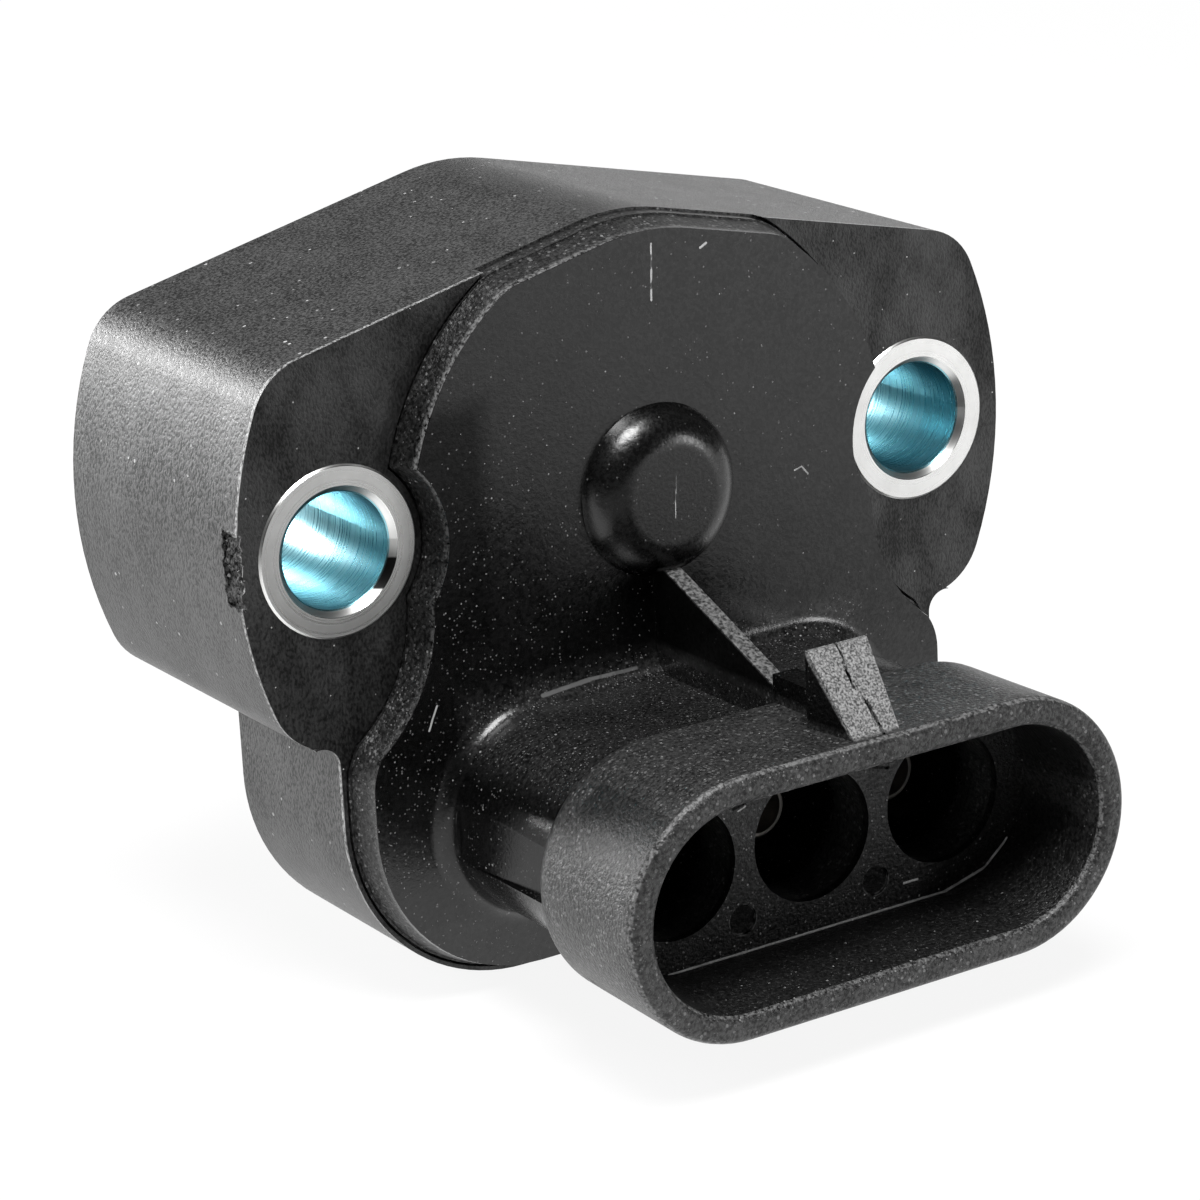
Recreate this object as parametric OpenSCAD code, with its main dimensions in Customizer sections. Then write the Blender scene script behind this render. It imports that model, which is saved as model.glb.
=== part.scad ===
// Throttle position sensor: a two-screw housing, a front cover with a three-way connector port,
// and the rotor, wiper, board and return spring inside it.
// Millimetres. The mounting plane is y = 0, the front and the connector face -Y, +Z is up,
// and the shaft axis is the Y axis.

/* [Mounting] */
// Screw hole through each bushing
hole_d = 5.4; // [5:0.1:6]
// Outer diameter of each bushing
bushing_d = 8; // [7.6:0.1:8.4]
// Chamfer at both mouths of a bushing
bushing_chamfer = 0.33; // [0.1:0.01:0.5]
// Height of the bushing above the ear's front face
bushing_proud = 0.1; // [0:0.05:0.3]
// Depth of the retaining groove round a bushing
groove_depth = 0.3; // [0.1:0.05:0.4]
// Width of the retaining groove round a bushing
groove_w = 2; // [1:0.1:3]

/* [Housing] */
// Diameter of the chamber that the rotor turns in
chamber_d = 21.2; // [20.6:0.1:23]
// Plastic between the chamber and each bushing
bushing_wall = 1.4; // [1.2:0.1:1.5]
// Depth of the ears from the mounting plane to their front face
ear_depth = 16; // [15.5:0.5:19]
// Distance from a screw hole to the side of its ear
ear_reach = 5; // [4.8:0.1:6]
// Height of the flange's peak above the shaft axis
peak_z = 13; // [12.8:0.1:14]
// Slope of the flange's four flanks
flank_angle = 12.9; // [11:0.1:14]
// Radius of the ears' corners
ear_corner_r = 3.2; // [2.6:0.1:4]
// Radius of the ears' bulging outer sides
ear_side_r = 19; // [17:0.5:24]
// Radius that rounds the two peaks
peak_r = 10; // [6:1:14]
// Depth of the lower lobe behind the front face
lobe_depth = 9.65; // [9:0.05:11]
// Rim left on the lobe round the cover
lobe_rim = 0.2; // [0.15:0.05:0.5]
// Fillet where the ears meet the lobe
crotch_r = 1; // [0.5:0.1:1.5]
// Outer walls
wall = 1.8; // [1.5:0.1:2]
// Thicker wall round the lobe's hollow
lobe_wall = 2.8; // [2.4:0.1:3.2]
// Wall that carries the rotor's journal
bearing_wall = 3; // [2.5:0.1:3.4]
// Depth of the pilot recess in the mounting face
pilot_depth = 2; // [1.6:0.1:2.4]
// Diameter of the pilot recess
pilot_d = 19; // [18:0.5:20]
// Front skin left over the cored ears
ear_skin = 2.4; // [2:0.1:3]
// Thickness of the ribs in the cored ears
ear_rib = 1.3; // [1:0.1:1.6]

/* [Cover] */
// Height of the cover's face above the ears
cover_rise = 1.6; // [1.2:0.1:2.2]
// Inward lean of the cover's edge over its rise
cover_draft = 0.35; // [0.1:0.05:0.4]
// Ledge at the foot of the leaning edge
foot_ledge = 0.08; // [0.06:0.01:0.12]
// Depth of the seat that the cover lies in
cover_seat = 0.9; // [0.6:0.1:1.2]
// Distance from the foot of the leaning edge to the housing
cover_gap = 0.2; // [0.16:0.01:0.24]
// Radius of the cover's round upper part
cover_r = 13.05; // [12.8:0.05:13.4]
// Radius of the corners where the round part meets the flanks
cover_round = 3; // [2:0.1:4]
// Width of the face beside the port's fillet
side_margin = 2.65; // [2.4:0.05:3]
// Width of the face below the port's fillet
low_margin = 1.85; // [1.5:0.05:2.2]
// Radius of the cover's lower corners
cover_corner_r = 8.25; // [6:0.25:9]
// Radius of the shoulders over the lower part
shoulder_r = 3; // [2:0.1:4]
// Height of the shoulders' centres above the pin row
shoulder_rise = 2.4; // [2:0.1:3]
// Radius of the cover's arc round each bushing
bushing_arc_r = 4.85; // [4.8:0.05:5]
// Radius of the waist between the bushing arcs and the shoulders
waist_r = 7.85; // [7.5:0.05:8.2]
// Distance of the waist's centre outside the screw hole
waist_out = 4; // [3.5:0.1:4.5]
// Distance of the waist's centre below the screw hole
waist_low = 3.2; // [3:0.1:3.5]
// Height of the ring that locates the cover in the chamber
plug_h = 1.1; // [0.8:0.1:1.2]
// Thickness of the locating ring
plug_t = 0.9; // [0.7:0.1:1]
// Clearance of the locating ring in the chamber
plug_gap = 0.15; // [0.1:0.01:0.2]
// Height of the central boss
boss_h = 1.5; // [1:0.1:1.8]
// Diameter of the central boss
boss_d = 8.2; // [7.6:0.1:8.8]
// Diameter of the boss's flat end
boss_flat_d = 4.4; // [3.6:0.1:5]
// Plastic over the pivot's blind hole
boss_roof = 1.2; // [0.8:0.1:1.4]
// Thickness of the gusset rib
gusset_t = 0.85; // [0.7:0.05:1.2]

/* [Connector] */
// Distance between neighbouring pins
pin_pitch = 7.35; // [7.2:0.05:7.6]
// Distance of the pin row below the shaft axis
port_drop = 13.6; // [13.5:0.1:13.8]
// Height of the neck
neck_h = 9.7; // [9.4:0.1:10]
// Fillet between the neck and the cover
neck_fillet = 1; // [0.6:0.1:1.3]
// Depth of the flat at each end of the neck, next to the cover
flat_start = 0.15; // [0.1:0.05:0.3]
// Depth of the flat at each end of the neck, next to the shroud
flat_cut = 0.7; // [0.5:0.05:0.9]
// Height of the flat at each end of the neck
flat_h = 2.8; // [2.5:0.1:3.5]
// Height of the connector shroud
shroud_h = 12.2; // [12:0.1:12.6]
// Wall of the shroud
shroud_wall = 1.3; // [1.1:0.05:1.5]
// Distance from the ears' front face to the rim
reach = 18.6; // [18.4:0.1:20]
// Depth of the shroud from the rim to its floor
shroud_depth = 5.65; // [5:0.05:6.2]
// Distance from the rim back to the shroud's rear edge
shroud_len = 8.2; // [7.8:0.1:8.6]
// Slope of the shroud's outside and inside, at one end
shroud_lean = 0.12; // [0.05:0.01:0.2]
// Radius of the two arcs that lead from the neck to the shroud
flare_r = 1.2; // [1:0.1:1.5]
// Edge radius of the rim
rim_r = 0.45; // [0.2:0.05:0.5]
// Diameter of a pin cavity
cavity_d = 6.3; // [6:0.05:6.5]
// Distance of the cavities' ends in front of the cover's face
cavity_back = 0.4; // [0.3:0.1:0.8]
// Diameter of the collar round the foot of a pin
collar_d = 4.2; // [3.8:0.1:4.4]
// Height of the collar round the foot of a pin
collar_h = 1.2; // [1:0.1:1.5]
// Diameter of an ejector pin mark
mark_d = 1.44; // [1.2:0.02:1.6]
// Depth of an ejector pin mark
mark_depth = 0.12; // [0.08:0.01:0.2]
// Distance of the ejector pin marks below the pin row
mark_drop = 3.1; // [3:0.05:3.4]
// Outer diameter of a tubular pin
pin_d = 2.85; // [2.6:0.05:3]
// Wall of a tubular pin
pin_wall = 0.28; // [0.2:0.02:0.4]
// Diameter of a pin's stem
stem_d = 1.6; // [1.4:0.1:1.8]
// Distance of the pin tips behind the shroud's floor
pin_setback = 4.1; // [3.8:0.1:5]
// Height of the latch ramp above the shroud
latch_h = 3.5; // [3:0.1:4]
// Length of the latch ramp
latch_len = 2.95; // [2.6:0.05:3.4]
// Width of the latch ramp at its rear face
latch_w = 3.2; // [2.8:0.1:3.6]
// Width of the latch ramp at its front end
latch_front_w = 2.45; // [2:0.05:2.8]
// Distance from the rim back to the latch ramp
latch_setback = 0.5; // [0.3:0.1:1]
// Width of the ledge behind the latch ramp
ledge_w = 1.3; // [1:0.1:1.6]
// Height of the ledge above the shroud
ledge_h = 1.2; // [0.8:0.1:1.5]
// Length of the ledge
ledge_len = 3.9; // [3:0.1:4.2]

/* [Rotor] */
// Radial gap between the rotor's disc and the chamber
disc_gap = 0.6; // [0.4:0.1:0.8]
// Thickness of the rotor's disc
disc_t = 1.8; // [1.5:0.1:2.2]
// Distance between the disc and the board
disc_to_board = 1.6; // [1.5:0.1:1.8]
// Radial distance from the spring's wire to the chamber
spring_room = 3.1; // [2.9:0.1:3.2]
// Radial distance from the spring's wire to the hub
hub_room = 1.2; // [1.1:0.1:1.3]
// Step from the hub down to the rear journal
journal_step = 1.1; // [1:0.1:1.2]
// Wall of the journal round the shaft socket
journal_wall = 1.2; // [1.1:0.1:1.3]
// Depth cut off the round socket by its flat
flat_depth = 1; // [0.8:0.1:1.2]
// Depth of the socket
socket_depth = 8; // [6:0.5:8]
// Lead-in at the socket's mouth
socket_lead = 0.4; // [0.3:0.1:0.5]
// Diameter of the front pivot
pivot_d = 4; // [3.6:0.1:4.4]
// Radial running clearance of the journal and the pivot
run_gap = 0.05; // [0.03:0.01:0.08]
// Axial clearance of the rotor
axial_gap = 0.15; // [0.1:0.05:0.25]
// Chamfer at the rotor's ends
rotor_chamfer = 0.3; // [0.2:0.05:0.4]
// Wire of the return spring
spring_wire = 0.7; // [0.6:0.05:0.8]
// Turns of the return spring
spring_turns = 4; // [3:1:5]
// Clearance at both ends of the return spring
spring_gap = 0.3; // [0.2:0.05:0.4]
// Diameter of the posts that the spring's legs bear on
post_d = 1.6; // [1.4:0.1:1.8]
// Height of the posts that the spring's legs bear on
post_h = 1.6; // [1.4:0.1:1.8]
// Wire of the seal ring
seal_wire = 1.4; // [1.2:0.1:1.6]

/* [Board] */
// Thickness of the resistor board
board_t = 0.8; // [0.6:0.1:1]
// Clearance of the board in the locating ring
board_gap = 0.1; // [0.05:0.05:0.2]
// Board beyond the outer pins
board_margin = 2.4; // [2.2:0.1:2.6]
// Diameter of the stakes that hold the board
stake_d = 1.5; // [1.2:0.1:1.8]
// Diameter of the stakes' heads
stake_head_d = 2.6; // [2.2:0.1:2.8]
// Height of the stakes above the pin row
stake_rise = 3.4; // [3.2:0.1:3.6]
// Distance from the chamber's wall to the wiper's outer track
track_in = 2; // [1.8:0.1:2.2]
// Distance from the chamber's wall to the wiper's inner track
collector_in = 4.2; // [4:0.1:4.4]
// Thickness of the wiper's strip
wiper_t = 0.2; // [0.15:0.01:0.3]
// Width of a wiper arm
arm_w = 1.4; // [1.2:0.1:1.5]
// Thickness of the thrust washer
washer_t = 0.4; // [0.3:0.05:0.5]

/* [Hidden] */

$fn = 64;
// Overlap where two shapes of one moulding join, and the length that a cut runs past a face
join = 0.01;
past = 1;

// Distances in front of the mounting plane
lobe_back = ear_depth - lobe_depth;
seat_f = ear_depth - cover_seat;
face_f = ear_depth + cover_rise;
rim_f = ear_depth + reach;
floor_f = rim_f - shroud_depth;
cavity_f = face_f + cavity_back;
pin_tip_f = floor_f - pin_setback;
board_f = seat_f - board_t;

// Housing
bushing_r = bushing_d / 2;
chamber_r = chamber_d / 2;
hole_x = chamber_r + bushing_wall + bushing_r;
flank = tan(flank_angle);
side_x = hole_x + ear_reach;
bearing_f = pilot_depth + bearing_wall;
groove_f = (ear_depth - groove_w) / 2;

// Connector port
neck_r = neck_h / 2;
shroud_r = shroud_h / 2;
shroud_rear_r = shroud_r - shroud_lean;
bore_r = shroud_r - shroud_wall;
port_z = -port_drop;
flare_angle = acos(1 - (shroud_rear_r - neck_r) / (2 * flare_r));
flare_end_f = rim_f - shroud_len + flare_r;
flare_start_f = flare_end_f - 2 * flare_r * sin(flare_angle);
latch_rear_f = rim_f - latch_setback - latch_len;
stem_r = stem_d / 2;

// Cover
cover_x = pin_pitch + neck_r + neck_fillet + side_margin;
cover_drop = port_drop + neck_r + neck_fillet + low_margin;
shoulder_x = cover_x - shoulder_r;
shoulder_z = port_z + shoulder_rise;
waist_x = hole_x + waist_out;
seat_gap = cover_draft + cover_gap;
lobe_edge = seat_gap + lobe_rim;
lobe_x = cover_x + lobe_edge;
lobe_drop = cover_drop + lobe_edge;
lobe_corner_r = cover_corner_r + lobe_edge;

// Rotor stack
spring_r = chamber_r - spring_room;
hub_r = spring_r - hub_room;
journal_r = hub_r - journal_step;
socket_r = journal_r - journal_wall;
pivot_r = pivot_d / 2;
pivot_step = 1;
disc_r = chamber_r - disc_gap;
disc_front_f = board_f - disc_to_board;
disc_back_f = disc_front_f - disc_t;
shoulder_f = bearing_f + axial_gap;
rotor_back_f = pilot_depth + socket_lead;
pivot_f = face_f + boss_h - boss_roof - axial_gap;
washer_f = board_f - washer_t;
seal_r = seal_wire / 2;
seal_ring_r = journal_r + seal_r + run_gap;
spring_back_f = bearing_f + spring_gap + spring_wire / 2;
spring_front_f = disc_back_f - spring_gap - spring_wire / 2;
post_r = post_d / 2;

// Board and wiper
board_tab_x = pin_pitch + board_margin;
board_r = chamber_r - plug_gap - plug_t - board_gap;
stake_x = pin_pitch / 2;
stake_z = port_z + stake_rise;
track_r = chamber_r - track_in;
collector_r = chamber_r - collector_in;
wiper_ring_r = pivot_r + 2 * pivot_step;
peg_r = 0.6;
peg_x = wiper_ring_r + 2 * wiper_t;
wiper_tab = 2 * peg_r + arm_w;
contact_r = 0.3;
contact_gap = 0.1;

// 2D helpers in the front view

function dir(a) = [cos(a), sin(a)];

// Tangent points of a belt round circles [x, z, r] that are listed anticlockwise
function belt_points(c) = [for (i = [0:len(c) - 1])
    let (p = c[i], q = c[(i + 1) % len(c)],
        d = [q[0] - p[0], q[1] - p[1]],
        n = dir(atan2(d[1], d[0]) - 90 + asin((p[2] - q[2]) / norm(d))))
    each [[p[0] + p[2] * n[0], p[1] + p[2] * n[1]], [q[0] + q[2] * n[0], q[1] + q[2] * n[1]]]];

module belt(circles) {
    polygon(belt_points(circles));
    for (c = circles)
        translate([c[0], c[1]])
            circle(c[2]);
}

module both_sides() {
    children();
    mirror([1, 0, 0])
        children();
}

// Extrudes a front-view outline between two distances in front of the mounting plane
module slab(f0, f1) {
    translate([0, -f0, 0])
        rotate([90, 0, 0])
            linear_extrude(f1 - f0)
                children();
}

// Round bar along Y
module bar(r, f0, f1, x = 0, z = 0) {
    translate([x, -f0, z])
        rotate([90, 0, 0])
            cylinder(r = r, h = f1 - f0);
}

// Cone along Y
module cone(r0, r1, f0, f1, x = 0, z = 0) {
    translate([x, -f0, z])
        rotate([90, 0, 0])
            cylinder(r1 = r0, r2 = r1, h = f1 - f0);
}

// Revolves a profile [radius, distance in front] about a line along Y
module turned(x = 0, z = 0) {
    translate([x, 0, z])
        rotate([90, 0, 0])
            rotate_extrude()
                children();
}

// Extrudes a side-view profile [distance in front, height] across the width w
module side_plate(w) {
    translate([-w / 2, 0, 0])
        rotate([90, 0, 90])
            linear_extrude(w)
                mirror([1, 0])
                    children();
}

// Sweeps a profile [radius, distance in front] round the stadium that the pin row gives the port
module port_sweep() {
    for (side = [-1, 1])
        translate([side * pin_pitch, 0, port_z])
            rotate([90, 0, 0])
                rotate([0, 0, -90 * side])
                    rotate_extrude(angle = 180)
                        children();
    translate([-pin_pitch, 0, port_z])
        rotate([90, 0, 90])
            linear_extrude(2 * pin_pitch)
                for (m = [0, 1])
                    mirror([0, m])
                        rotate(90)
                            children();
}

// Outlines

// Barrel: two flanks that meet in a rounded ridge above and below, and a bulging arc at each side.
// x is its half width, side_r the arc's radius, r the corners' radius, drop the distance inside the
// flange's flanks, and inset moves the whole outline inwards.
module barrel_outline(x, side_r, r, drop, inset) {
    belt(barrel_circles(x, side_r, r, drop, inset));
    both_sides()
        intersection() {
            translate([x - side_r, 0])
                circle(side_r - inset);
            barrel_wedge(x, side_r, r, drop);
        }
}

function barrel_circles(x, side_r, r, drop, inset) =
    let (c = barrel_corner(x, side_r, r, drop),
        pz = peak_z - (peak_r + drop) / cos(flank_angle))
    [[c[0], c[1], r - inset], [0, pz, peak_r - inset], [-c[0], c[1], r - inset],
        [-c[0], -c[1], r - inset], [0, -pz, peak_r - inset], [c[0], -c[1], r - inset]];

// Centre of a corner arc, which touches the flank and the side arc from inside
function barrel_corner(x, side_r, r, drop) =
    let (h = peak_z - (r + drop) / cos(flank_angle),
        c = x - side_r,
        qa = 1 + flank * flank,
        qb = c + h * flank,
        qc = c * c + h * h - pow(side_r - r, 2),
        cx = (qb + sqrt(max(0, qb * qb - qa * qc))) / qa)
    [cx, h - flank * cx];

// The wedge that a side arc fills between its two corners
module barrel_wedge(x, side_r, r, drop) {
    c = barrel_corner(x, side_r, r, drop);
    middle = [x - side_r, 0];
    a = atan2(c[1], c[0] - middle[0]);
    polygon([middle, middle + 2 * side_r * dir(-a), middle + [2 * side_r, 0], middle + 2 * side_r * dir(a)]);
}

module flange_outline(inset = 0) {
    barrel_outline(side_x, ear_side_r, ear_corner_r, 0, inset);
}

module lobe_outline(inset = 0) {
    r = lobe_corner_r - inset;
    cx = lobe_x - lobe_corner_r;
    cz = -lobe_drop + lobe_corner_r;
    belt([[cx, 0, r], [-cx, 0, r], [-cx, cz, r], [cx, cz, r]]);
}

// Fills the inner corners between the ears and the lobe
module crotch_fillets() {
    flank_z = -(peak_z - flank * lobe_x);
    cx = lobe_x + crotch_r;
    cz = -(peak_z - flank * cx) - crotch_r / cos(flank_angle);
    both_sides()
        difference() {
            polygon([[lobe_x - crotch_r, flank_z + crotch_r],
                [cx + crotch_r * sin(flank_angle), cz + crotch_r], [cx, cz], [lobe_x - crotch_r, cz]]);
            translate([cx, cz])
                circle(crotch_r);
        }
}

// Outline of the cover's face; a negative inset gives the foot of its leaning edge.
// drop is the distance from the flange's flanks down to the face.
module cover_outline(inset = 0, drop = seat_gap) {
    difference() {
        union() {
            barrel_outline(cover_r, cover_r, cover_round, drop, inset);
            belt(cover_lobe_circles(inset));
            both_sides()
                cover_flank();
        }
        both_sides() {
            translate([hole_x, 0])
                circle(bushing_arc_r + inset);
            translate([waist_x, -waist_low])
                circle(waist_r + inset);
        }
    }
}

function cover_lobe_circles(inset) =
    let (r = cover_corner_r - inset, cx = cover_x - cover_corner_r, cz = -cover_drop + cover_corner_r)
    [[shoulder_x, shoulder_z, shoulder_r - inset], [-shoulder_x, shoulder_z, shoulder_r - inset],
        [-cx, cz, r], [cx, cz, r]];

// Fills the cover between its round part and its shoulder, out to the arcs that trim it
module cover_flank() {
    way = [shoulder_x - waist_x, shoulder_z + waist_low];
    waist_end = [waist_x, -waist_low] + way / norm(way) * (waist_r - past);
    polygon([[0, 0], [hole_x, 0], [hole_x + past, -waist_low - past], waist_end, [shoulder_x, shoulder_z]]);
}

// Housing

module housing() {
    color([0.09, 0.09, 0.095]) {
        rear_post();
        housing_shell();
    }
}

module housing_shell() {
    difference() {
        union() {
            slab(0, ear_depth)
                flange_outline();
            slab(lobe_back, ear_depth) {
                lobe_outline();
                crotch_fillets();
            }
        }
        slab(seat_f, ear_depth + past)
            cover_outline(-seat_gap, cover_draft);
        housing_chamber();
        ear_cores();
        bar(pilot_d / 2, -past, pilot_depth);
        bar(journal_r + run_gap, 0, bearing_f + past);
        bar(seal_ring_r + seal_r, 0, pilot_depth + seal_wire + axial_gap);
        for (side = [-1, 1])
            bushing_bore(side);
    }
}

// A post on the chamber's floor takes the spring's rear leg
module rear_post() {
    p = leg_post(-1);
    bar(post_r, bearing_f - join, bearing_f + post_h, p[0], p[1]);
}

// The hollow for the rotor and, below it, for the board's foot
module housing_chamber() {
    bar(chamber_r, bearing_f, ear_depth + past);
    slab(lobe_back + wall, ear_depth + past)
        chamber_foot();
}

module chamber_foot() {
    intersection() {
        lobe_outline(lobe_wall);
        cover_outline(wall / 2);
        translate([-lobe_x, -lobe_drop])
            square([2 * lobe_x, lobe_drop - 2 * pivot_r]);
    }
}

// The ears are cored from the mounting side, round the bushing bosses and between ribs
module ear_cores() {
    both_sides()
        difference() {
            slab(-past, ear_depth - ear_skin)
                difference() {
                    intersection() {
                        flange_outline(wall);
                        translate([chamber_r + disc_gap, -side_x])
                            square(2 * side_x);
                    }
                    cover_outline(wall / 2 - ear_rib);
                }
            bar(bushing_r + bushing_wall, -2 * past, ear_depth, hole_x, 0);
            slab(-2 * past, ear_depth)
                translate([hole_x - ear_rib / 2, -side_x])
                    square([ear_rib, 2 * side_x]);
        }
}

// The plastic flows into the bushing's groove
module bushing_bore(side) {
    difference() {
        bar(bushing_r, -past, ear_depth + past, side * hole_x, 0);
        turned(side * hole_x, 0)
            translate([bushing_r - groove_depth, groove_f])
                square([groove_depth + past, groove_w]);
    }
}

// Compression limiters

module bushing(side) {
    r = hole_d / 2;
    end_f = ear_depth + bushing_proud;
    color([0.75, 0.76, 0.78])
        turned(side * hole_x, 0)
            difference() {
                polygon([[r + bushing_chamfer, 0], [bushing_r, 0],
                    [bushing_r, end_f - bushing_proud], [bushing_r - bushing_proud, end_f],
                    [r + bushing_chamfer, end_f], [r, end_f - bushing_chamfer], [r, bushing_chamfer]]);
                translate([bushing_r - groove_depth, groove_f])
                    square([groove_depth + past, groove_w]);
            }
}

module bushing_left() {
    bushing(-1);
}

module bushing_right() {
    bushing(1);
}

// Cover with the connector port

module cover() {
    color([0.07, 0.07, 0.075])
        difference() {
            union() {
                cover_plate();
                cover_plug();
                port_sweep()
                    port_profile();
                boss();
                gusset();
                latch();
                board_stakes();
            }
            port_sweep()
                shroud_bore_profile();
            for (i = [-1, 0, 1])
                pin_cavity(i);
            neck_flats();
            ejector_marks();
            bar(pivot_r + run_gap, seat_f - past, pivot_f + axial_gap);
        }
}

// The plate leans in over its rise, from a straight foot in its seat
module cover_plate() {
    slab(seat_f, ear_depth + join)
        cover_outline(-cover_draft - foot_ledge);
    difference() {
        union() {
            leaning_hull(barrel_circles(cover_r, cover_r, cover_round, seat_gap, 0));
            leaning_hull(cover_lobe_circles(0));
            both_sides() {
                intersection() {
                    cone(cover_r + cover_draft, cover_r, ear_depth, face_f);
                    slab(seat_f, face_f + past)
                        barrel_wedge(cover_r, cover_r, cover_round, seat_gap);
                }
                slab(ear_depth, face_f)
                    cover_flank();
            }
        }
        both_sides() {
            cone(bushing_arc_r - cover_draft, bushing_arc_r, ear_depth, face_f + join, hole_x, 0);
            cone(waist_r - cover_draft, waist_r, ear_depth, face_f + join, waist_x, -waist_low);
        }
    }
}

// The plate over the circles that round one of its outlines
module leaning_hull(circles) {
    hull()
        for (c = circles)
            cone(c[2] + cover_draft, c[2], ear_depth, face_f, c[0], c[1]);
}

// The ring that locates the cover in the chamber, open below for the board
module cover_plug() {
    slab(seat_f - plug_h, seat_f + join)
        difference() {
            circle(chamber_r - plug_gap);
            circle(chamber_r - plug_gap - plug_t);
            translate([-board_tab_x - plug_gap, -chamber_r])
                square([2 * (board_tab_x + plug_gap), chamber_r]);
        }
}

module port_profile() {
    translate([0, seat_f + join])
        square([neck_r, rim_f - rim_r - seat_f - join]);
    difference() {
        translate([0, face_f - join])
            square([neck_r + neck_fillet, neck_fillet + join]);
        translate([neck_r + neck_fillet, face_f + neck_fillet])
            circle(neck_fillet);
    }
    flare_profile();
    shroud_profile();
}

// A concave arc leaves the neck and a convex arc runs into the shroud
module flare_profile() {
    mid = [neck_r + flare_r - flare_r * cos(flare_angle), flare_start_f + flare_r * sin(flare_angle)];
    difference() {
        translate([0, flare_start_f])
            square([mid[0], mid[1] - flare_start_f]);
        translate([neck_r + flare_r, flare_start_f])
            circle(flare_r);
    }
    translate([shroud_rear_r - flare_r, flare_end_f])
        circle(flare_r);
    polygon([[0, mid[1]], mid, [shroud_rear_r - flare_r, flare_end_f], [0, flare_end_f]]);
}

module shroud_profile() {
    polygon([[0, flare_end_f], [shroud_rear_r, flare_end_f], [shroud_r, rim_f - rim_r],
        [shroud_r - rim_r, rim_f - rim_r], [shroud_r - rim_r, rim_f], [0, rim_f]]);
    translate([shroud_r - rim_r, rim_f - rim_r])
        circle(rim_r);
}

// Hollow of the shroud, opening out round the rim
module shroud_bore_profile() {
    polygon([[0, floor_f], [bore_r - shroud_lean, floor_f], [bore_r, rim_f - rim_r],
        [bore_r, rim_f + past], [0, rim_f + past]]);
    difference() {
        translate([0, rim_f - rim_r])
            square([bore_r + rim_r, rim_r + past]);
        translate([bore_r + rim_r, rim_f - rim_r])
            circle(rim_r);
    }
}

// Each cavity leaves a collar round the foot of its pin
module pin_cavity(i) {
    x = i * pin_pitch;
    difference() {
        bar(cavity_d / 2, cavity_f, floor_f + past, x, port_z);
        bar(collar_d / 2, cavity_f - past, cavity_f + collar_h, x, port_z);
    }
    bar(stem_r, seat_f - past, cavity_f + collar_h + past, x, port_z);
}

// The round ends of the neck are cut flat, deeper towards the shroud
module neck_flats() {
    f0 = face_f + 0.8 * neck_fillet;
    f1 = flare_start_f + flare_r * sin(flare_angle);
    end_x = pin_pitch + neck_r;
    both_sides()
        translate([0, 0, port_z - flat_h / 2])
            linear_extrude(flat_h)
                polygon([[end_x - flat_start, -f0], [end_x - flat_cut, -f1], [end_x + past, -f1],
                    [end_x + past, -f0]]);
}

// Two shallow ejector pin marks between the cavities
module ejector_marks() {
    for (side = [-1, 1])
        bar(mark_d / 2, floor_f - mark_depth, floor_f + past, side * pin_pitch / 2 - 2 * mark_depth,
            port_z - mark_drop);
}

module boss() {
    r = boss_d / 2;
    flat_r = boss_flat_d / 2;
    top_f = face_f + boss_h;
    arc = ((r - flat_r) * (r - flat_r) + boss_h * boss_h) / (2 * boss_h);
    turned()
        intersection() {
            translate([0, seat_f + join])
                square([r + past, top_f - seat_f - join]);
            union() {
                translate([0, seat_f])
                    square([flat_r, top_f - seat_f]);
                translate([flat_r, top_f - arc])
                    circle(arc);
            }
        }
}

// A thin web from the boss down onto the shroud
module gusset() {
    top_z = -boss_d / 2 + neck_fillet / 2;
    low_z = port_z + shroud_r + gusset_t / 2;
    base_z = port_z + neck_r - past;
    end_f = latch_rear_f - ledge_len;
    side_plate(gusset_t)
        polygon([[seat_f + past, top_z], [face_f + past, top_z], [end_f, low_z],
            [end_f + gusset_t, low_z], [end_f + gusset_t, base_z], [seat_f + past, base_z]]);
}

// A low ledge leads to the ramp that the plug's lock snaps over
module latch() {
    top = port_z + shroud_r;
    foot = top - shroud_wall / 2;
    front_f = latch_rear_f + latch_len;
    tip = gusset_t / 4;
    side_plate(ledge_w)
        polygon([[latch_rear_f - ledge_len, foot], [latch_rear_f - ledge_len, top + ledge_h],
            [latch_rear_f + past, top + ledge_h], [latch_rear_f + past, foot]]);
    hull() {
        side_plate(latch_w)
            polygon([[latch_rear_f, foot], [latch_rear_f, top + latch_h], [latch_rear_f + tip, top + latch_h],
                [latch_rear_f + tip, foot]]);
        side_plate(latch_front_w)
            polygon([[front_f - tip, foot], [front_f - tip, top + tip], [front_f, top], [front_f, foot]]);
    }
}

// Two pegs, staked over the board
module board_stakes() {
    for (side = [-1, 1])
        turned(side * stake_x, stake_z)
            polygon([[0, seat_f + join], [stake_d / 2, seat_f + join], [stake_d / 2, board_f],
                [stake_head_d / 2, board_f], [stake_head_d / 2 - wiper_t, board_f - board_t / 2],
                [0, board_f - board_t / 2 - contact_gap]]);
}

// Pins: a rolled tube in front, a stem through the cover and the board

module terminal(i) {
    r = pin_d / 2;
    foot_f = cavity_f + collar_h;
    flange_f = foot_f + 2 * pin_wall;
    color([0.78, 0.76, 0.72])
        turned(i * pin_pitch, port_z)
            polygon([[0, board_f - pin_wall], [stem_r, board_f - pin_wall], [stem_r, foot_f],
                [r + pin_wall, foot_f], [r + pin_wall, flange_f], [r, flange_f],
                [r, pin_tip_f - pin_wall / 2], [r - pin_wall / 2, pin_tip_f],
                [r - pin_wall, pin_tip_f], [r - pin_wall, flange_f + pin_wall], [0, flange_f + pin_wall]]);
}

module terminal_left() {
    terminal(-1);
}

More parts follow.
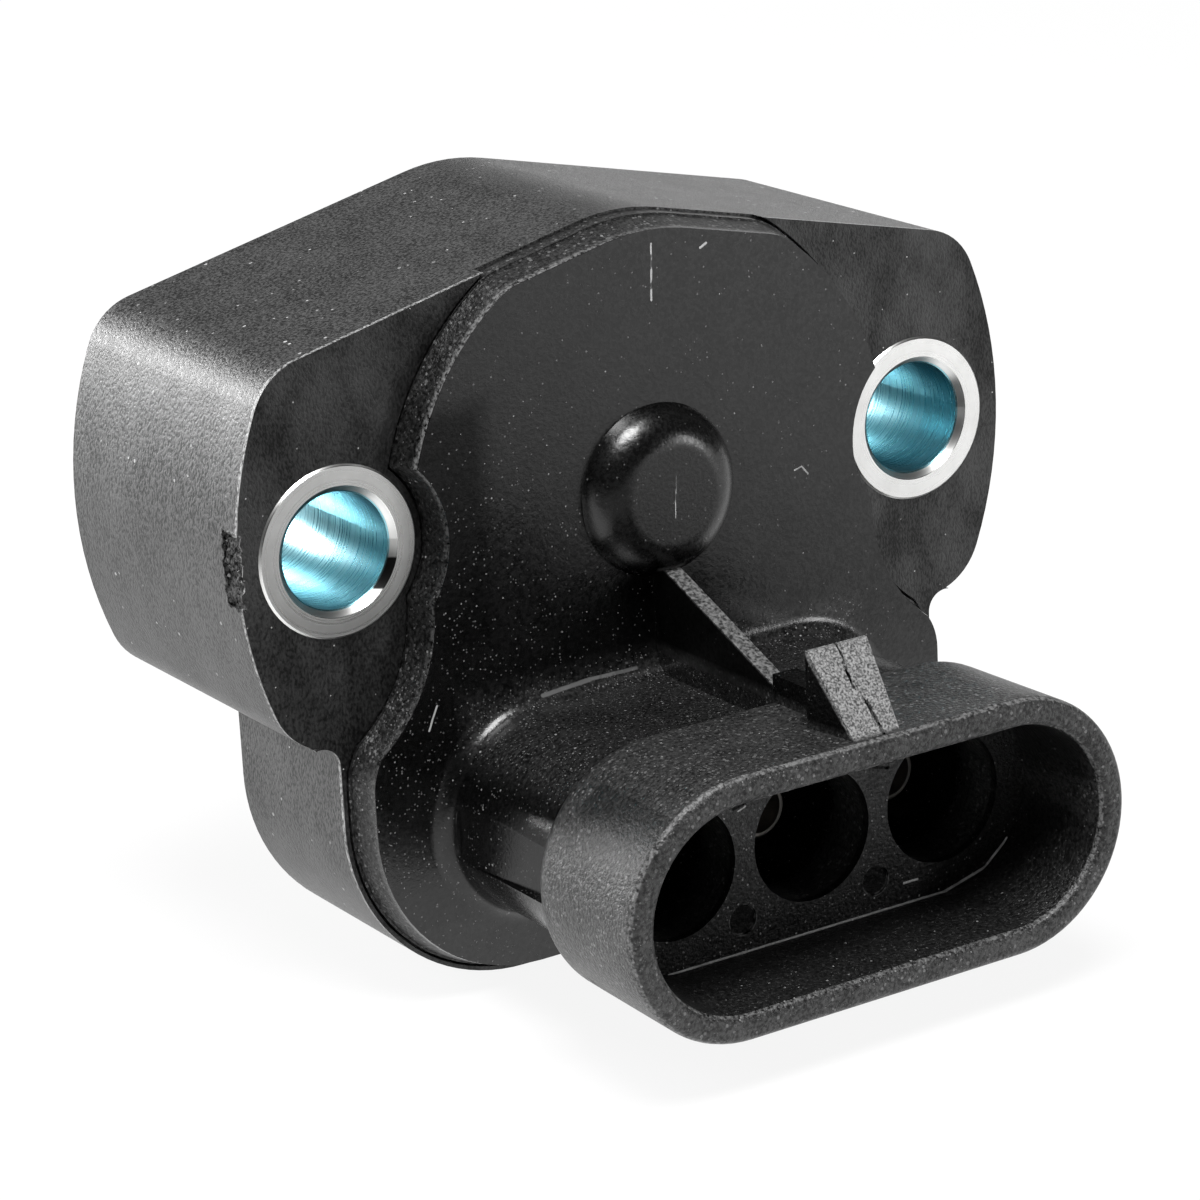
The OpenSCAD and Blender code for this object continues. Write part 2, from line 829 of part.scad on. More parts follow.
module terminal_middle() {
    terminal(0);
}

module terminal_right() {
    terminal(1);
}

// Rivet rings that clamp the board to the pins' stems
module eyelet(i) {
    r = 2 * stem_r;
    color([0.72, 0.6, 0.32])
        turned(i * pin_pitch, port_z)
            polygon([[stem_r, board_f - pin_wall], [r, board_f - pin_wall], [r + contact_gap, board_f],
                [stem_r, board_f]]);
}

module eyelet_left() {
    eyelet(-1);
}

module eyelet_middle() {
    eyelet(0);
}

module eyelet_right() {
    eyelet(1);
}

// Board against the cover's inner side

module resistor_board() {
    color([0.16, 0.33, 0.24])
        difference() {
            slab(board_f, seat_f)
                board_outline();
            bar(pivot_r + pivot_step - wiper_t, board_f - past, seat_f + past);
            for (i = [-1, 0, 1])
                bar(stem_r, board_f - past, seat_f + past, i * pin_pitch, port_z);
            for (side = [-1, 1])
                bar(stake_d / 2, board_f - past, seat_f + past, side * stake_x, stake_z);
        }
}

module board_outline() {
    r = pivot_step;
    x = board_tab_x - r;
    z = port_z - board_margin + r;
    circle(board_r);
    belt([[x, z + stake_rise + 2 * board_margin, r], [-x, z + stake_rise + 2 * board_margin, r],
        [-x, z, r], [x, z, r]]);
}

// Rotor

module rotor() {
    color([0.86, 0.84, 0.78])
        difference() {
            union() {
                turned()
                    rotor_profile();
                spring_post();
                wiper_pegs();
            }
            slab(rotor_back_f - past, rotor_back_f + socket_depth)
                socket_outline();
            cone(socket_r + socket_lead + past, socket_r, rotor_back_f - past, rotor_back_f + socket_lead);
            rim_window();
        }
}

module rotor_profile() {
    c = rotor_chamfer;
    step_f = washer_f - washer_t / 2;
    polygon([[0, rotor_back_f], [journal_r - c, rotor_back_f], [journal_r, rotor_back_f + c],
        [journal_r, shoulder_f], [hub_r, shoulder_f], [hub_r, disc_back_f], [disc_r, disc_back_f],
        [disc_r, disc_front_f], [pivot_r + pivot_step, disc_front_f], [pivot_r + pivot_step, step_f],
        [pivot_r, step_f], [pivot_r, pivot_f - c], [pivot_r - c, pivot_f], [0, pivot_f]]);
}

// D-shaped socket for the throttle shaft
module socket_outline() {
    intersection() {
        circle(socket_r);
        translate([-socket_r, -socket_r])
            square([2 * socket_r, 2 * socket_r - flat_depth]);
    }
}

// A post behind the disc takes the spring's front leg
module spring_post() {
    p = leg_post(1);
    bar(post_r, disc_back_f - post_h, disc_back_f + disc_t / 2, p[0], p[1]);
}

module wiper_pegs() {
    for (side = [-1, 1])
        bar(peg_r, disc_front_f - join, disc_front_f + 2 * wiper_t, side * peg_x, 0);
}

// The disc is relieved where the wiper's arms flex
module rim_window() {
    slab(disc_back_f - past, disc_front_f + past)
        intersection() {
            difference() {
                circle(disc_r - journal_wall / 2);
                circle(hub_r + rotor_chamfer);
            }
            polygon([[0, 0], dir(40) * 2 * disc_r, dir(90) * 2 * disc_r, dir(140) * 2 * disc_r]);
        }
}

// Wiper: a stamped ring with two sprung arms

module wiper() {
    color([0.8, 0.62, 0.3]) {
        difference() {
            slab(disc_front_f, disc_front_f + wiper_t)
                difference() {
                    union() {
                        circle(wiper_ring_r);
                        square([2 * (peg_x + 2 * peg_r), 4 * peg_r], center = true);
                        translate([0, wiper_ring_r])
                            square([2 * wiper_tab, wiper_tab], center = true);
                    }
                    circle(pivot_r + pivot_step + run_gap);
                }
            for (side = [-1, 1])
                bar(peg_r, disc_front_f - past, disc_front_f + past, side * peg_x, 0);
        }
        wiper_arm(-1, collector_r);
        wiper_arm(1, track_r);
    }
}

// An arm climbs from the ring's tab to its round contact tip on a track
module wiper_arm(side, r) {
    root_z = wiper_ring_r + peg_r;
    tip_f = board_f - contact_gap;
    translate([side * (arm_w - contact_gap), 0, 0])
        side_plate(arm_w) {
            polygon([[disc_front_f, root_z], [disc_front_f + wiper_t, root_z],
                [tip_f - contact_r + run_gap, r - contact_r],
                [tip_f - contact_r + run_gap - wiper_t, r - contact_r + wiper_t]]);
            translate([tip_f - contact_r, r])
                circle(contact_r);
        }
}

// Thrust washer on the front pivot
module thrust_washer() {
    color([0.8, 0.8, 0.82])
        difference() {
            bar(pivot_r + pivot_step - rotor_chamfer, washer_f, board_f);
            bar(pivot_r + run_gap, washer_f - past, board_f + past);
        }
}

// Return spring: a coil round the hub with a leg at each end

leg_angle = 160;
ring_sides = 8;
ring_steps = 20;
leg_side = spring_wire;
leg_out = spring_room - journal_wall;

// Steps of a leg beyond the end of the coil: sideways, then outwards
leg_steps = [[leg_side / 2, spring_wire / 7], [leg_side * 0.9, spring_wire / 2],
    [leg_side, leg_out / 2], [leg_side, leg_out]];

// A place beside the coil's ends; side is 1 at the front end and -1 at the rear end
function leg_place(side, along, out) =
    (spring_r + out) * dir(leg_angle) + side * along * dir(leg_angle + 90);

// Centre of the post that a leg bears on
function leg_post(side) = leg_place(side, leg_side - spring_wire / 2 - run_gap - post_r, 2 * spring_wire);

function leg_point(side, step, f) =
    let (p = leg_place(side, step[0], step[1]))
    [p[0], -f, p[1]];

function coil_point(t) =
    let (p = spring_r * dir(leg_angle - 360 * t),
        f = spring_front_f - (spring_front_f - spring_back_f) * t / spring_turns)
    [p[0], -f, p[1]];

// The path runs in along the front leg, round the turns and out along the rear leg
spring_path = concat(
    [for (i = [len(leg_steps) - 1:-1:0]) leg_point(1, leg_steps[i], spring_front_f)],
    [for (i = [0:spring_turns * ring_steps]) coil_point(i / ring_steps)],
    [for (s = leg_steps) leg_point(-1, s, spring_back_f)]);

// A ring of the wire, square to the path
function ring(i) =
    let (p = spring_path[i],
        d = spring_path[min(i + 1, len(spring_path) - 1)] - spring_path[max(i - 1, 0)],
        t = d / norm(d),
        u = [0, 1, 0] - t[1] * t,
        n = u / norm(u),
        m = cross(t, n))
    [for (k = [0:ring_sides - 1])
        p + spring_wire / 2 * (cos(360 * k / ring_sides) * n + sin(360 * k / ring_sides) * m)];

module return_spring() {
    n = len(spring_path);
    color([0.55, 0.56, 0.58])
        polyhedron(
            points = [for (i = [0:n - 1]) each ring(i)],
            faces = concat(
                [[for (k = [ring_sides - 1:-1:0]) k]],
                [for (i = [0:n - 2], k = [0:ring_sides - 1])
                    [i * ring_sides + k, i * ring_sides + (k + 1) % ring_sides,
                        (i + 1) * ring_sides + (k + 1) % ring_sides, (i + 1) * ring_sides + k]],
                [[for (k = [0:ring_sides - 1]) (n - 1) * ring_sides + k]]));
}

// Rubber ring round the journal
module rotor_seal() {
    color([0.12, 0.12, 0.12])
        turned()
            translate([seal_ring_r, pilot_depth + seal_r + run_gap])
                circle(seal_r);
}

housing();
cover();
bushing_left();
bushing_right();
terminal_left();
terminal_middle();
terminal_right();
eyelet_left();
eyelet_middle();
eyelet_right();
resistor_board();
rotor();
wiper();
thrust_washer();
return_spring();
rotor_seal();
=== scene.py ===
import math
from types import SimpleNamespace

import bpy
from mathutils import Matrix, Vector


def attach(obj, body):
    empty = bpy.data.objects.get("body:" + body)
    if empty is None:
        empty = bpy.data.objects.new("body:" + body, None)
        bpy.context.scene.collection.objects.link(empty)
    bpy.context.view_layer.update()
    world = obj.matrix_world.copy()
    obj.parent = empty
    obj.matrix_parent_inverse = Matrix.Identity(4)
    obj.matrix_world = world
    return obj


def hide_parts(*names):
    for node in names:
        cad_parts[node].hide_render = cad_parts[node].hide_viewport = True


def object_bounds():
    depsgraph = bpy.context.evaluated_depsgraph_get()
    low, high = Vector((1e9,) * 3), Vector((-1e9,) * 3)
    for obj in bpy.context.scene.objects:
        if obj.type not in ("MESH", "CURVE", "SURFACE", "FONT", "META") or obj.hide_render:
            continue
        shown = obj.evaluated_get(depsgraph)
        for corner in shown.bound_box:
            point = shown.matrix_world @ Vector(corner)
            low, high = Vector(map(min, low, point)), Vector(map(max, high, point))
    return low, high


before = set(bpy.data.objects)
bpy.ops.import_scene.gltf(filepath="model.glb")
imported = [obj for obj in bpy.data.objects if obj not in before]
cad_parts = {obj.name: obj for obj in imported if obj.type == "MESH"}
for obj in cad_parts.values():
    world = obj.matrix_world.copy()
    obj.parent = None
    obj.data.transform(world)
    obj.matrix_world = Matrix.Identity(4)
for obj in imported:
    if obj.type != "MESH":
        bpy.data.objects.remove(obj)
cad_low, cad_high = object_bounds()
scene = bpy.context.scene

MM = 0.001

# Places of the solids' features, in millimetres
HOLE_X = 16.0
BORE_R = 2.7
PORT_Z = -13.6
FACE_Y = -17.6
NECK_END_Y = -26.2
RIM_Y = -34.6
FLOOR_Y = -28.95
EAR_Y = -16.0

# Outward direction and height, from the origin, of the web's top strip and the latch's ramp
WEB_UP = (0.0, -0.374, 0.927)
WEB_TOP = 3.69
RAMP_UP = (0.0, -0.765, 0.645)
RAMP_TOP = 21.24

# Lumpy blocks that the torn ear and the split latch lose: centre, size, cuts, wander, seed
EAR_CUTS = [
    ((-21.35, -15.6, 0.9), (1.1, 1.9, 1.6), 7, 0.14, 3),
    ((-21.3, -15.5, -0.8), (1.0, 1.7, 1.9), 7, 0.14, 5),
]
LATCH_CUTS = [
    ((-0.02, -31.6, -4.35), (0.13, 1.0, 1.0), 4, 0.05, 11),
    ((-0.1, -32.3, -5.2), (0.13, 1.1, 1.1), 4, 0.05, 12),
    ((0.25, -33.4, -6.6), (0.13, 0.9, 0.9), 4, 0.05, 13),
]

# Lamps, in metres and watts: name, place, width and height, power
LAMPS = [
    ("Overhead box", (-0.09, -0.17, 0.42), (0.19, 0.16), 3.2),
    ("Back left box", (-0.25, 0.5, 0.15), (0.18, 0.14), 4.2),
    ("Back right box", (0.42, 0.5, 0.03), (0.2, 0.12), 0.13),
    ("Right front box", (0.34, -0.4, 0.03), (0.08, 0.16), 0.55),
]
FILL = 0.3


# Node helpers


def node(tree, kind, place, **settings):
    made = tree.nodes.new(kind)
    made.location = place
    for name, value in settings.items():
        setattr(made, name, value)
    return made


def feed(tree, value, socket):
    if isinstance(value, (int, float)):
        socket.default_value = value
    elif isinstance(value, tuple):
        socket.default_value = value
    else:
        tree.links.new(value, socket)


def new_group(name, inputs, outputs):
    tree = bpy.data.node_groups.new(name, "ShaderNodeTree")
    for label, kind, value in inputs:
        socket = tree.interface.new_socket(label, in_out="INPUT", socket_type=kind)
        socket.default_value = value
    for label in outputs:
        tree.interface.new_socket(label, in_out="OUTPUT", socket_type="NodeSocketFloat")
    start = node(tree, "NodeGroupInput", (-1400, 0))
    end = node(tree, "NodeGroupOutput", (1000, 0))
    return tree, start.outputs, end.inputs


def maths(tree, operation, a, b, place, clamp=False):
    made = node(tree, "ShaderNodeMath", place, operation=operation, use_clamp=clamp)
    feed(tree, a, made.inputs[0])
    if b is not None:
        feed(tree, b, made.inputs[1])
    return made.outputs[0]


def vectors(tree, operation, a, b, place):
    made = node(tree, "ShaderNodeVectorMath", place, operation=operation)
    feed(tree, a, made.inputs[0])
    if b is not None:
        feed(tree, b, made.inputs[1])
    return made


def remap(tree, value, low, high, to_low, to_high, place, smooth=False):
    made = node(tree, "ShaderNodeMapRange", place)
    if smooth:
        made.interpolation_type = "SMOOTHSTEP"
    made.inputs["From Min"].default_value = low
    made.inputs["From Max"].default_value = high
    made.inputs["To Min"].default_value = to_low
    made.inputs["To Max"].default_value = to_high
    feed(tree, value, made.inputs["Value"])
    return made.outputs["Result"]


def noise(tree, where, scale, detail, rough, place):
    made = node(tree, "ShaderNodeTexNoise", place)
    feed(tree, scale, made.inputs["Scale"])
    made.inputs["Detail"].default_value = detail
    made.inputs["Roughness"].default_value = rough
    feed(tree, where, made.inputs["Vector"])
    return made.outputs["Fac"]


def blend(tree, mask, a, b, place):
    made = node(tree, "ShaderNodeMix", place, data_type="RGBA")
    feed(tree, mask, made.inputs["Factor"])
    feed(tree, grey(a), made.inputs["A"])
    feed(tree, grey(b), made.inputs["B"])
    return made.outputs["Result"]


def grey(value):
    return (value, value, value, 1.0) if isinstance(value, float) else value


def axes(tree, where, place):
    """The X, Y and Z of a vector, as three values."""
    split = node(tree, "ShaderNodeSeparateXYZ", place)
    feed(tree, where, split.inputs[0])
    return tuple(split.outputs)


# Shared surface effects


def moulded_grain():
    """Fine pitted grain of a glass-filled moulding, with larger cloudy patches."""
    tree, given, made = new_group(
        "Moulded grain",
        [
            ("Coordinates", "NodeSocketVector", (0, 0, 0)),
            ("Grain Scale", "NodeSocketFloat", 4500.0),
            ("Cloud Scale", "NodeSocketFloat", 260.0),
        ],
        ["Grain", "Clouds", "Height"],
    )
    fine = noise(tree, given["Coordinates"], given["Grain Scale"], 2.0, 0.6, (-900, 200))
    cloud = noise(tree, given["Coordinates"], given["Cloud Scale"], 4.0, 0.6, (-900, -100))
    grain = remap(tree, fine, 0.36, 0.64, 0.0, 1.0, (-600, 200))
    clouds = remap(tree, cloud, 0.3, 0.7, 0.0, 1.0, (-600, -100))
    low = maths(tree, "MULTIPLY", clouds, 0.25, (-300, -100))
    height = maths(tree, "ADD", low, grain, (0, 0))
    feed(tree, grain, made["Grain"])
    feed(tree, clouds, made["Clouds"])
    feed(tree, height, made["Height"])
    return tree


def dust_specks():
    """Small pale specks, at most one to a cell of the pattern, as a mask of uneven strength."""
    tree, given, made = new_group(
        "Dust specks",
        [
            ("Coordinates", "NodeSocketVector", (0, 0, 0)),
            ("Speck Scale", "NodeSocketFloat", 2600.0),
            ("Speck Size", "NodeSocketFloat", 0.2),
            ("Share", "NodeSocketFloat", 0.3),
        ],
        ["Specks"],
    )
    cells = node(tree, "ShaderNodeTexVoronoi", (-1100, 0))
    feed(tree, given["Coordinates"], cells.inputs["Vector"])
    feed(tree, given["Speck Scale"], cells.inputs["Scale"])
    split = node(tree, "ShaderNodeSeparateColor", (-800, -150))
    feed(tree, cells.outputs["Color"], split.inputs["Color"])
    size = maths(tree, "MULTIPLY", split.outputs["Green"], given["Speck Size"], (-500, -100))
    near = maths(tree, "LESS_THAN", cells.outputs["Distance"], size, (-200, 100))
    chosen = maths(tree, "LESS_THAN", split.outputs["Red"], given["Share"], (-200, -150))
    specks = maths(tree, "MULTIPLY", near, chosen, (100, 0))
    power = remap(tree, split.outputs["Blue"], 0.0, 1.0, 0.25, 1.0, (100, -250))
    specks = maths(tree, "MULTIPLY", specks, power, (400, 0))
    feed(tree, specks, made["Specks"])
    return tree


def soft_box():
    """One inside a box given by its centre and half sizes, falling to nought over a soft edge."""
    tree, given, made = new_group(
        "Soft box",
        [
            ("Coordinates", "NodeSocketVector", (0, 0, 0)),
            ("Centre", "NodeSocketVector", (0, 0, 0)),
            ("Half Size", "NodeSocketVector", (1, 1, 1)),
            ("Soft Edge", "NodeSocketFloat", 0.001),
        ],
        ["Inside"],
    )
    away = vectors(tree, "SUBTRACT", given["Coordinates"], given["Centre"], (-1100, 0))
    size = vectors(tree, "ABSOLUTE", away.outputs[0], None, (-900, 0))
    past = vectors(tree, "SUBTRACT", size.outputs[0], given["Half Size"], (-700, 0))
    split = node(tree, "ShaderNodeSeparateXYZ", (-500, 0))
    feed(tree, past.outputs[0], split.inputs[0])
    most = maths(tree, "MAXIMUM", split.outputs[0], split.outputs[1], (-300, 100))
    most = maths(tree, "MAXIMUM", most, split.outputs[2], (-100, 100))
    ratio = maths(tree, "DIVIDE", most, given["Soft Edge"], (100, 100))
    inside = maths(tree, "SUBTRACT", 1.0, ratio, (300, 100), clamp=True)
    feed(tree, inside, made["Inside"])
    return tree


def line_mark():
    """A wavering line from one point to another, broken along its length, as a mask."""
    tree, given, made = new_group(
        "Line mark",
        [
            ("Coordinates", "NodeSocketVector", (0, 0, 0)),
            ("Wave", "NodeSocketVector", (0, 0, 0)),
            ("Gaps", "NodeSocketFloat", 0.0),
            ("From", "NodeSocketVector", (0, 0, 0)),
            ("To", "NodeSocketVector", (0, 0, 1)),
            ("Width", "NodeSocketFloat", 0.0001),
            ("Waver", "NodeSocketFloat", 0.0001),
            ("Breaks", "NodeSocketFloat", 0.5),
        ],
        ["Mark"],
    )
    shift = vectors(tree, "SCALE", given["Wave"], None, (-800, -300))
    feed(tree, given["Waver"], shift.inputs["Scale"])
    moved = vectors(tree, "ADD", given["Coordinates"], shift.outputs[0], (-600, -200))
    along = vectors(tree, "SUBTRACT", given["To"], given["From"], (-1000, 100))
    offset = vectors(tree, "SUBTRACT", moved.outputs[0], given["From"], (-400, -100))
    over = vectors(tree, "DOT_PRODUCT", offset.outputs[0], along.outputs[0], (-200, 0))
    total = vectors(tree, "DOT_PRODUCT", along.outputs[0], along.outputs[0], (-200, 200))
    share = maths(tree, "DIVIDE", over.outputs["Value"], total.outputs["Value"], (0, 100), clamp=True)
    foot = vectors(tree, "SCALE", along.outputs[0], None, (200, 200))
    feed(tree, share, foot.inputs["Scale"])
    miss = vectors(tree, "DISTANCE", offset.outputs[0], foot.outputs[0], (400, 100))
    ratio = maths(tree, "DIVIDE", miss.outputs["Value"], given["Width"], (600, 100))
    line = remap(tree, ratio, 0.5, 1.0, 1.0, 0.0, (800, 100), smooth=True)
    kept = maths(tree, "SUBTRACT", 1.0, given["Breaks"], (400, -500))
    gaps = maths(tree, "MAXIMUM", given["Gaps"], kept, (600, -300))
    mark = maths(tree, "MULTIPLY", line, gaps, (900, -100))
    feed(tree, mark, made["Mark"])
    return tree


GRAIN = moulded_grain()
SPECKS = dust_specks()
SOFT_BOX = soft_box()
LINE = line_mark()


def use(tree, group, place, where, **values):
    made = node(tree, "ShaderNodeGroup", place, node_tree=group)
    feed(tree, where, made.inputs["Coordinates"])
    for name, value in values.items():
        feed(tree, value, made.inputs[name.replace("_", " ")])
    return made.outputs


def millimetres(values):
    return tuple(v * MM for v in values)


def speck_mask(tree, where, place, share, size, scale=2600.0):
    return use(tree, SPECKS, place, where, Share=share, Speck_Size=size, Speck_Scale=scale)["Specks"]


def box_mask(tree, place, where, centre, half, edge):
    return use(tree, SOFT_BOX, place, where, Centre=millimetres(centre), Half_Size=millimetres(half),
               Soft_Edge=edge * MM)["Inside"]


def line_masks(tree, place, where, wave, gaps, lines):
    """The lines (from, to, width, waver, breaks) of one kind, joined in one mask."""
    total = 0.0
    for i, (start, end, width, waver, breaks) in enumerate(lines):
        spot = (place[0], place[1] - 320 * i)
        mark = use(tree, LINE, spot, where, Wave=wave, Gaps=gaps, From=millimetres(start),
                   To=millimetres(end), Width=width * MM, Waver=waver * MM, Breaks=breaks)["Mark"]
        total = maths(tree, "MAXIMUM", mark, total, (spot[0] + 250, spot[1]))
    return total


def line_wander(tree, where, place):
    """The sideways wander and the gaps that all lines of one material share."""
    x, y = place
    wave = node(tree, "ShaderNodeTexNoise", (x, y))
    wave.inputs["Scale"].default_value = 1600.0
    feed(tree, where, wave.inputs["Vector"])
    wave = vectors(tree, "SUBTRACT", wave.outputs["Color"], (0.5, 0.5, 0.5), (x + 200, y))
    gaps = noise(tree, where, 2600.0, 1.0, 0.5, (x, y - 300))
    return wave.outputs[0], remap(tree, gaps, 0.42, 0.56, 0.0, 1.0, (x + 200, y - 300))


def band_mask(tree, value, low, high, edge, place):
    """One between two heights in millimetres, falling to nought over the edge on either side."""
    x, y = place
    rise = remap(tree, value, (low - edge) * MM, low * MM, 0.0, 1.0, (x, y))
    fall = remap(tree, value, high * MM, (high + edge) * MM, 1.0, 0.0, (x, y - 200))
    return maths(tree, "MULTIPLY", rise, fall, (x + 200, y))


def above_plane(tree, where, normal, height, place):
    """One on the skin at a plane given in millimetres, nought a little below it."""
    over = vectors(tree, "DOT_PRODUCT", where, normal, place).outputs["Value"]
    x, y = place
    return remap(tree, over, (height - 0.2) * MM, (height - 0.08) * MM, 0.0, 1.0, (x + 150, y))


def new_material(name, colour, rough, metallic=0.0):
    mat = bpy.data.materials.new(name)
    mat.use_nodes = True
    tree = mat.node_tree
    tree.nodes.clear()
    out = node(tree, "ShaderNodeOutputMaterial", (1900, 0))
    shader = node(tree, "ShaderNodeBsdfPrincipled", (1600, 0))
    shader.inputs["Base Color"].default_value = (*colour, 1.0)
    shader.inputs["Roughness"].default_value = rough
    shader.inputs["Metallic"].default_value = metallic
    feed(tree, shader.outputs["BSDF"], out.inputs["Surface"])
    coords = node(tree, "ShaderNodeTexCoord", (-2400, 0))
    return mat, tree, shader, coords.outputs["Object"]


def bump(tree, shader, height, strength, distance, place=(1300, -500)):
    made = node(tree, "ShaderNodeBump", place)
    made.inputs["Strength"].default_value = strength
    made.inputs["Distance"].default_value = distance * MM
    feed(tree, height, made.inputs["Height"])
    feed(tree, made.outputs["Normal"], shader.inputs["Normal"])


# Finishes


def housing_plastic():
    """Black glass-filled plastic with a coarse grain, a pale front edge and a torn place, its faces behind
    the front painted lighter as lit and its front face darker as shaded.
    """
    mat, tree, shader, where = new_material("Housing plastic", (0.02, 0.02, 0.02), 0.5)
    y = axes(tree, where, (-2100, 300))[1]
    stretched = vectors(tree, "MULTIPLY", where, (1.0, 0.85, 0.6), (-2100, 0))
    grain = use(tree, GRAIN, (-1800, 0), stretched.outputs[0], Grain_Scale=8000.0, Cloud_Scale=420.0)
    specks = speck_mask(tree, where, (-1800, -300), 0.14, 0.24)
    front = remap(tree, y, (EAR_Y + 0.25) * MM, (EAR_Y + 0.02) * MM, 0.0, 1.0, (-1800, 400))
    lip = band_mask(tree, y, EAR_Y + 0.06, EAR_Y + 0.22, 0.04, (-1800, 600))
    torn = box_mask(tree, (-1800, -600), where, (-20.4, -15.2, 0.0), (0.5, 0.65, 1.75), 0.06)
    tone = maths(tree, "ADD", maths(tree, "MULTIPLY", grain["Grain"], 0.75, (-1400, 100)),
                 maths(tree, "MULTIPLY", grain["Clouds"], 0.25, (-1400, -100)), (-1200, 0))
    # Painted light and shade: the faces behind the ear's front get a lighter tone, as lit, and the front
    # face a darker one, as shaded.
    lit_side_tone = blend(tree, tone, 0.002, 0.036, (-900, 200))
    mottled = blend(tree, 0.5, tone, grain["Clouds"], (-1100, -200))
    shaded_front_tone = blend(tree, mottled, 0.0005, 0.006, (-900, 0))
    colour = blend(tree, front, lit_side_tone, shaded_front_tone, (-600, 200))
    pale_edge = maths(tree, "MULTIPLY", lip, grain["Grain"], (-600, 400))
    colour = blend(tree, pale_edge, colour, 0.3, (-450, 300))
    broken = blend(tree, grain["Grain"], 0.002, 0.07, (-600, -100))
    colour = blend(tree, torn, colour, broken, (-300, 200))
    colour = blend(tree, specks, colour, 0.4, (0, 200))
    feed(tree, colour, shader.inputs["Base Color"])
    rough = remap(tree, grain["Grain"], 0.0, 1.0, 0.38, 0.6, (0, -100))
    feed(tree, maths(tree, "MAXIMUM", rough, torn, (300, -100)), shader.inputs["Roughness"])
    gloss = remap(tree, blend(tree, front, tone, mottled, (-200, -250)), 0.2, 0.8, 0.24, 0.8, (0, -250))
    feed(tree, gloss, shader.inputs["Specular IOR Level"])
    ragged = maths(tree, "MULTIPLY", torn, 3.0, (0, -400))
    ragged = maths(tree, "MULTIPLY", ragged, grain["Grain"], (300, -400))
    relief = maths(tree, "ADD", grain["Height"], ragged, (600, -400))
    bump(tree, shader, relief, 0.8, 0.015)
    return mat


# Scratches and pale lines on the cover and connector: from, to, width, waver and share of breaks
SCRATCHES = [
    ((0.27, -17.6, 11.5), (0.14, -17.6, 8.9), 0.06, 0.1, 0.9),
    ((2.93, -17.6, 10.87), (3.27, -17.6, 11.05), 0.07, 0.1, 0.0),
    ((7.75, -17.6, -0.62), (8.15, -17.6, -0.5), 0.05, 0.1, 0.3),
    ((8.15, -17.6, -0.5), (8.5, -17.6, -0.96), 0.05, 0.1, 0.3),
    ((-12.36, -17.6, -7.67), (-12.85, -17.6, -8.75), 0.06, 0.05, 0.0),
    ((0.08, -19.1, 1.1), (-0.02, -19.1, -1.0), 0.035, 0.14, 0.8),
    ((-3.9, -18.2, -8.75), (-3.35, -17.95, -8.75), 0.07, 0.05, 0.0),
    ((5.03, -28.95, -17.25), (5.8, -28.95, -17.25), 0.07, 0.05, 0.0),
    ((-11.75, -19.6, -12.2), (-11.5, -25.6, -12.2), 0.07, 0.06, 0.6),
    # The next three are a pale line along the bottom edge of the shroud's floor.
    ((-8.0, -28.95, -18.27), (7.3, -28.95, -18.27), 0.09, 0.05, 0.15),
    ((7.3, -28.95, -18.27), (9.7, -28.95, -17.66), 0.09, 0.05, 0.3),
    ((9.7, -28.95, -17.66), (11.0, -28.95, -16.55), 0.08, 0.05, 0.3),
    ((-3.95, -28.95, -11.52), (-3.55, -28.95, -11.38), 0.05, 0.08, 0.3),
]

# A painted highlight: the thin light line along the upper edge of the neck
NECK_EDGE_HIGHLIGHT = [
    ((-6.9, -17.83, -8.38), (-4.28, -17.72, -8.23), 0.13, 0.05, 0.1),
    ((-4.28, -17.72, -8.23), (-1.7, -17.74, -8.25), 0.11, 0.06, 0.3),
]

# Dark cracks and chips, with the same values to a line
CRACKS = [
    ((-11.48, -25.85, -12.2), (-11.48, -25.85, -14.9), 0.1, 0.15, 0.1),
    ((-11.6, -22.6, -15.0), (-11.55, -24.4, -15.0), 0.08, 0.12, 0.3),
    ((5.4, -34.6, -19.75), (5.6, -34.5, -19.7), 0.1, 0.1, 0.0),
    ((-4.2, -28.95, -11.37), (-3.4, -28.95, -11.15), 0.1, 0.1, 0.2),
    ((3.5, -28.95, -11.25), (4.35, -28.95, -11.5), 0.1, 0.1, 0.3),
    ((0.06, -31.3, -4.2), (-0.14, -31.9, -4.9), 0.11, 0.16, 0.2),
    ((-0.14, -31.9, -4.9), (0.0, -32.4, -5.5), 0.13, 0.2, 0.1),
    ((0.0, -32.4, -5.5), (0.17, -33.1, -6.3), 0.11, 0.2, 0.3),
    ((0.17, -33.1, -6.3), (0.29, -33.6, -6.9), 0.12, 0.16, 0.2),
    ((0.29, -33.6, -6.9), (0.35, -34.1, -7.5), 0.1, 0.14, 0.3),
]


# Centres in X and Z of the two round ejector marks in the shroud's floor
EJECTORS = ((-3.915, -16.7), (3.435, -16.7))


def flat_radius(tree, where, centre, place):
    """Distance in metres from the line along Y through the given X and Z, then Y and Z themselves."""
    left, top = place
    x, y, z = axes(tree, where, (left - 800, top))
    flat = node(tree, "ShaderNodeCombineXYZ", (left - 400, top))
    feed(tree, maths(tree, "SUBTRACT", x, centre[0] * MM, (left - 600, top)), flat.inputs["X"])
    feed(tree, maths(tree, "SUBTRACT", z, centre[1] * MM, (left - 600, top - 200)), flat.inputs["Z"])
    radius = vectors(tree, "LENGTH", flat.outputs[0], None, (left - 200, top)).outputs["Value"]
    return radius, y, z


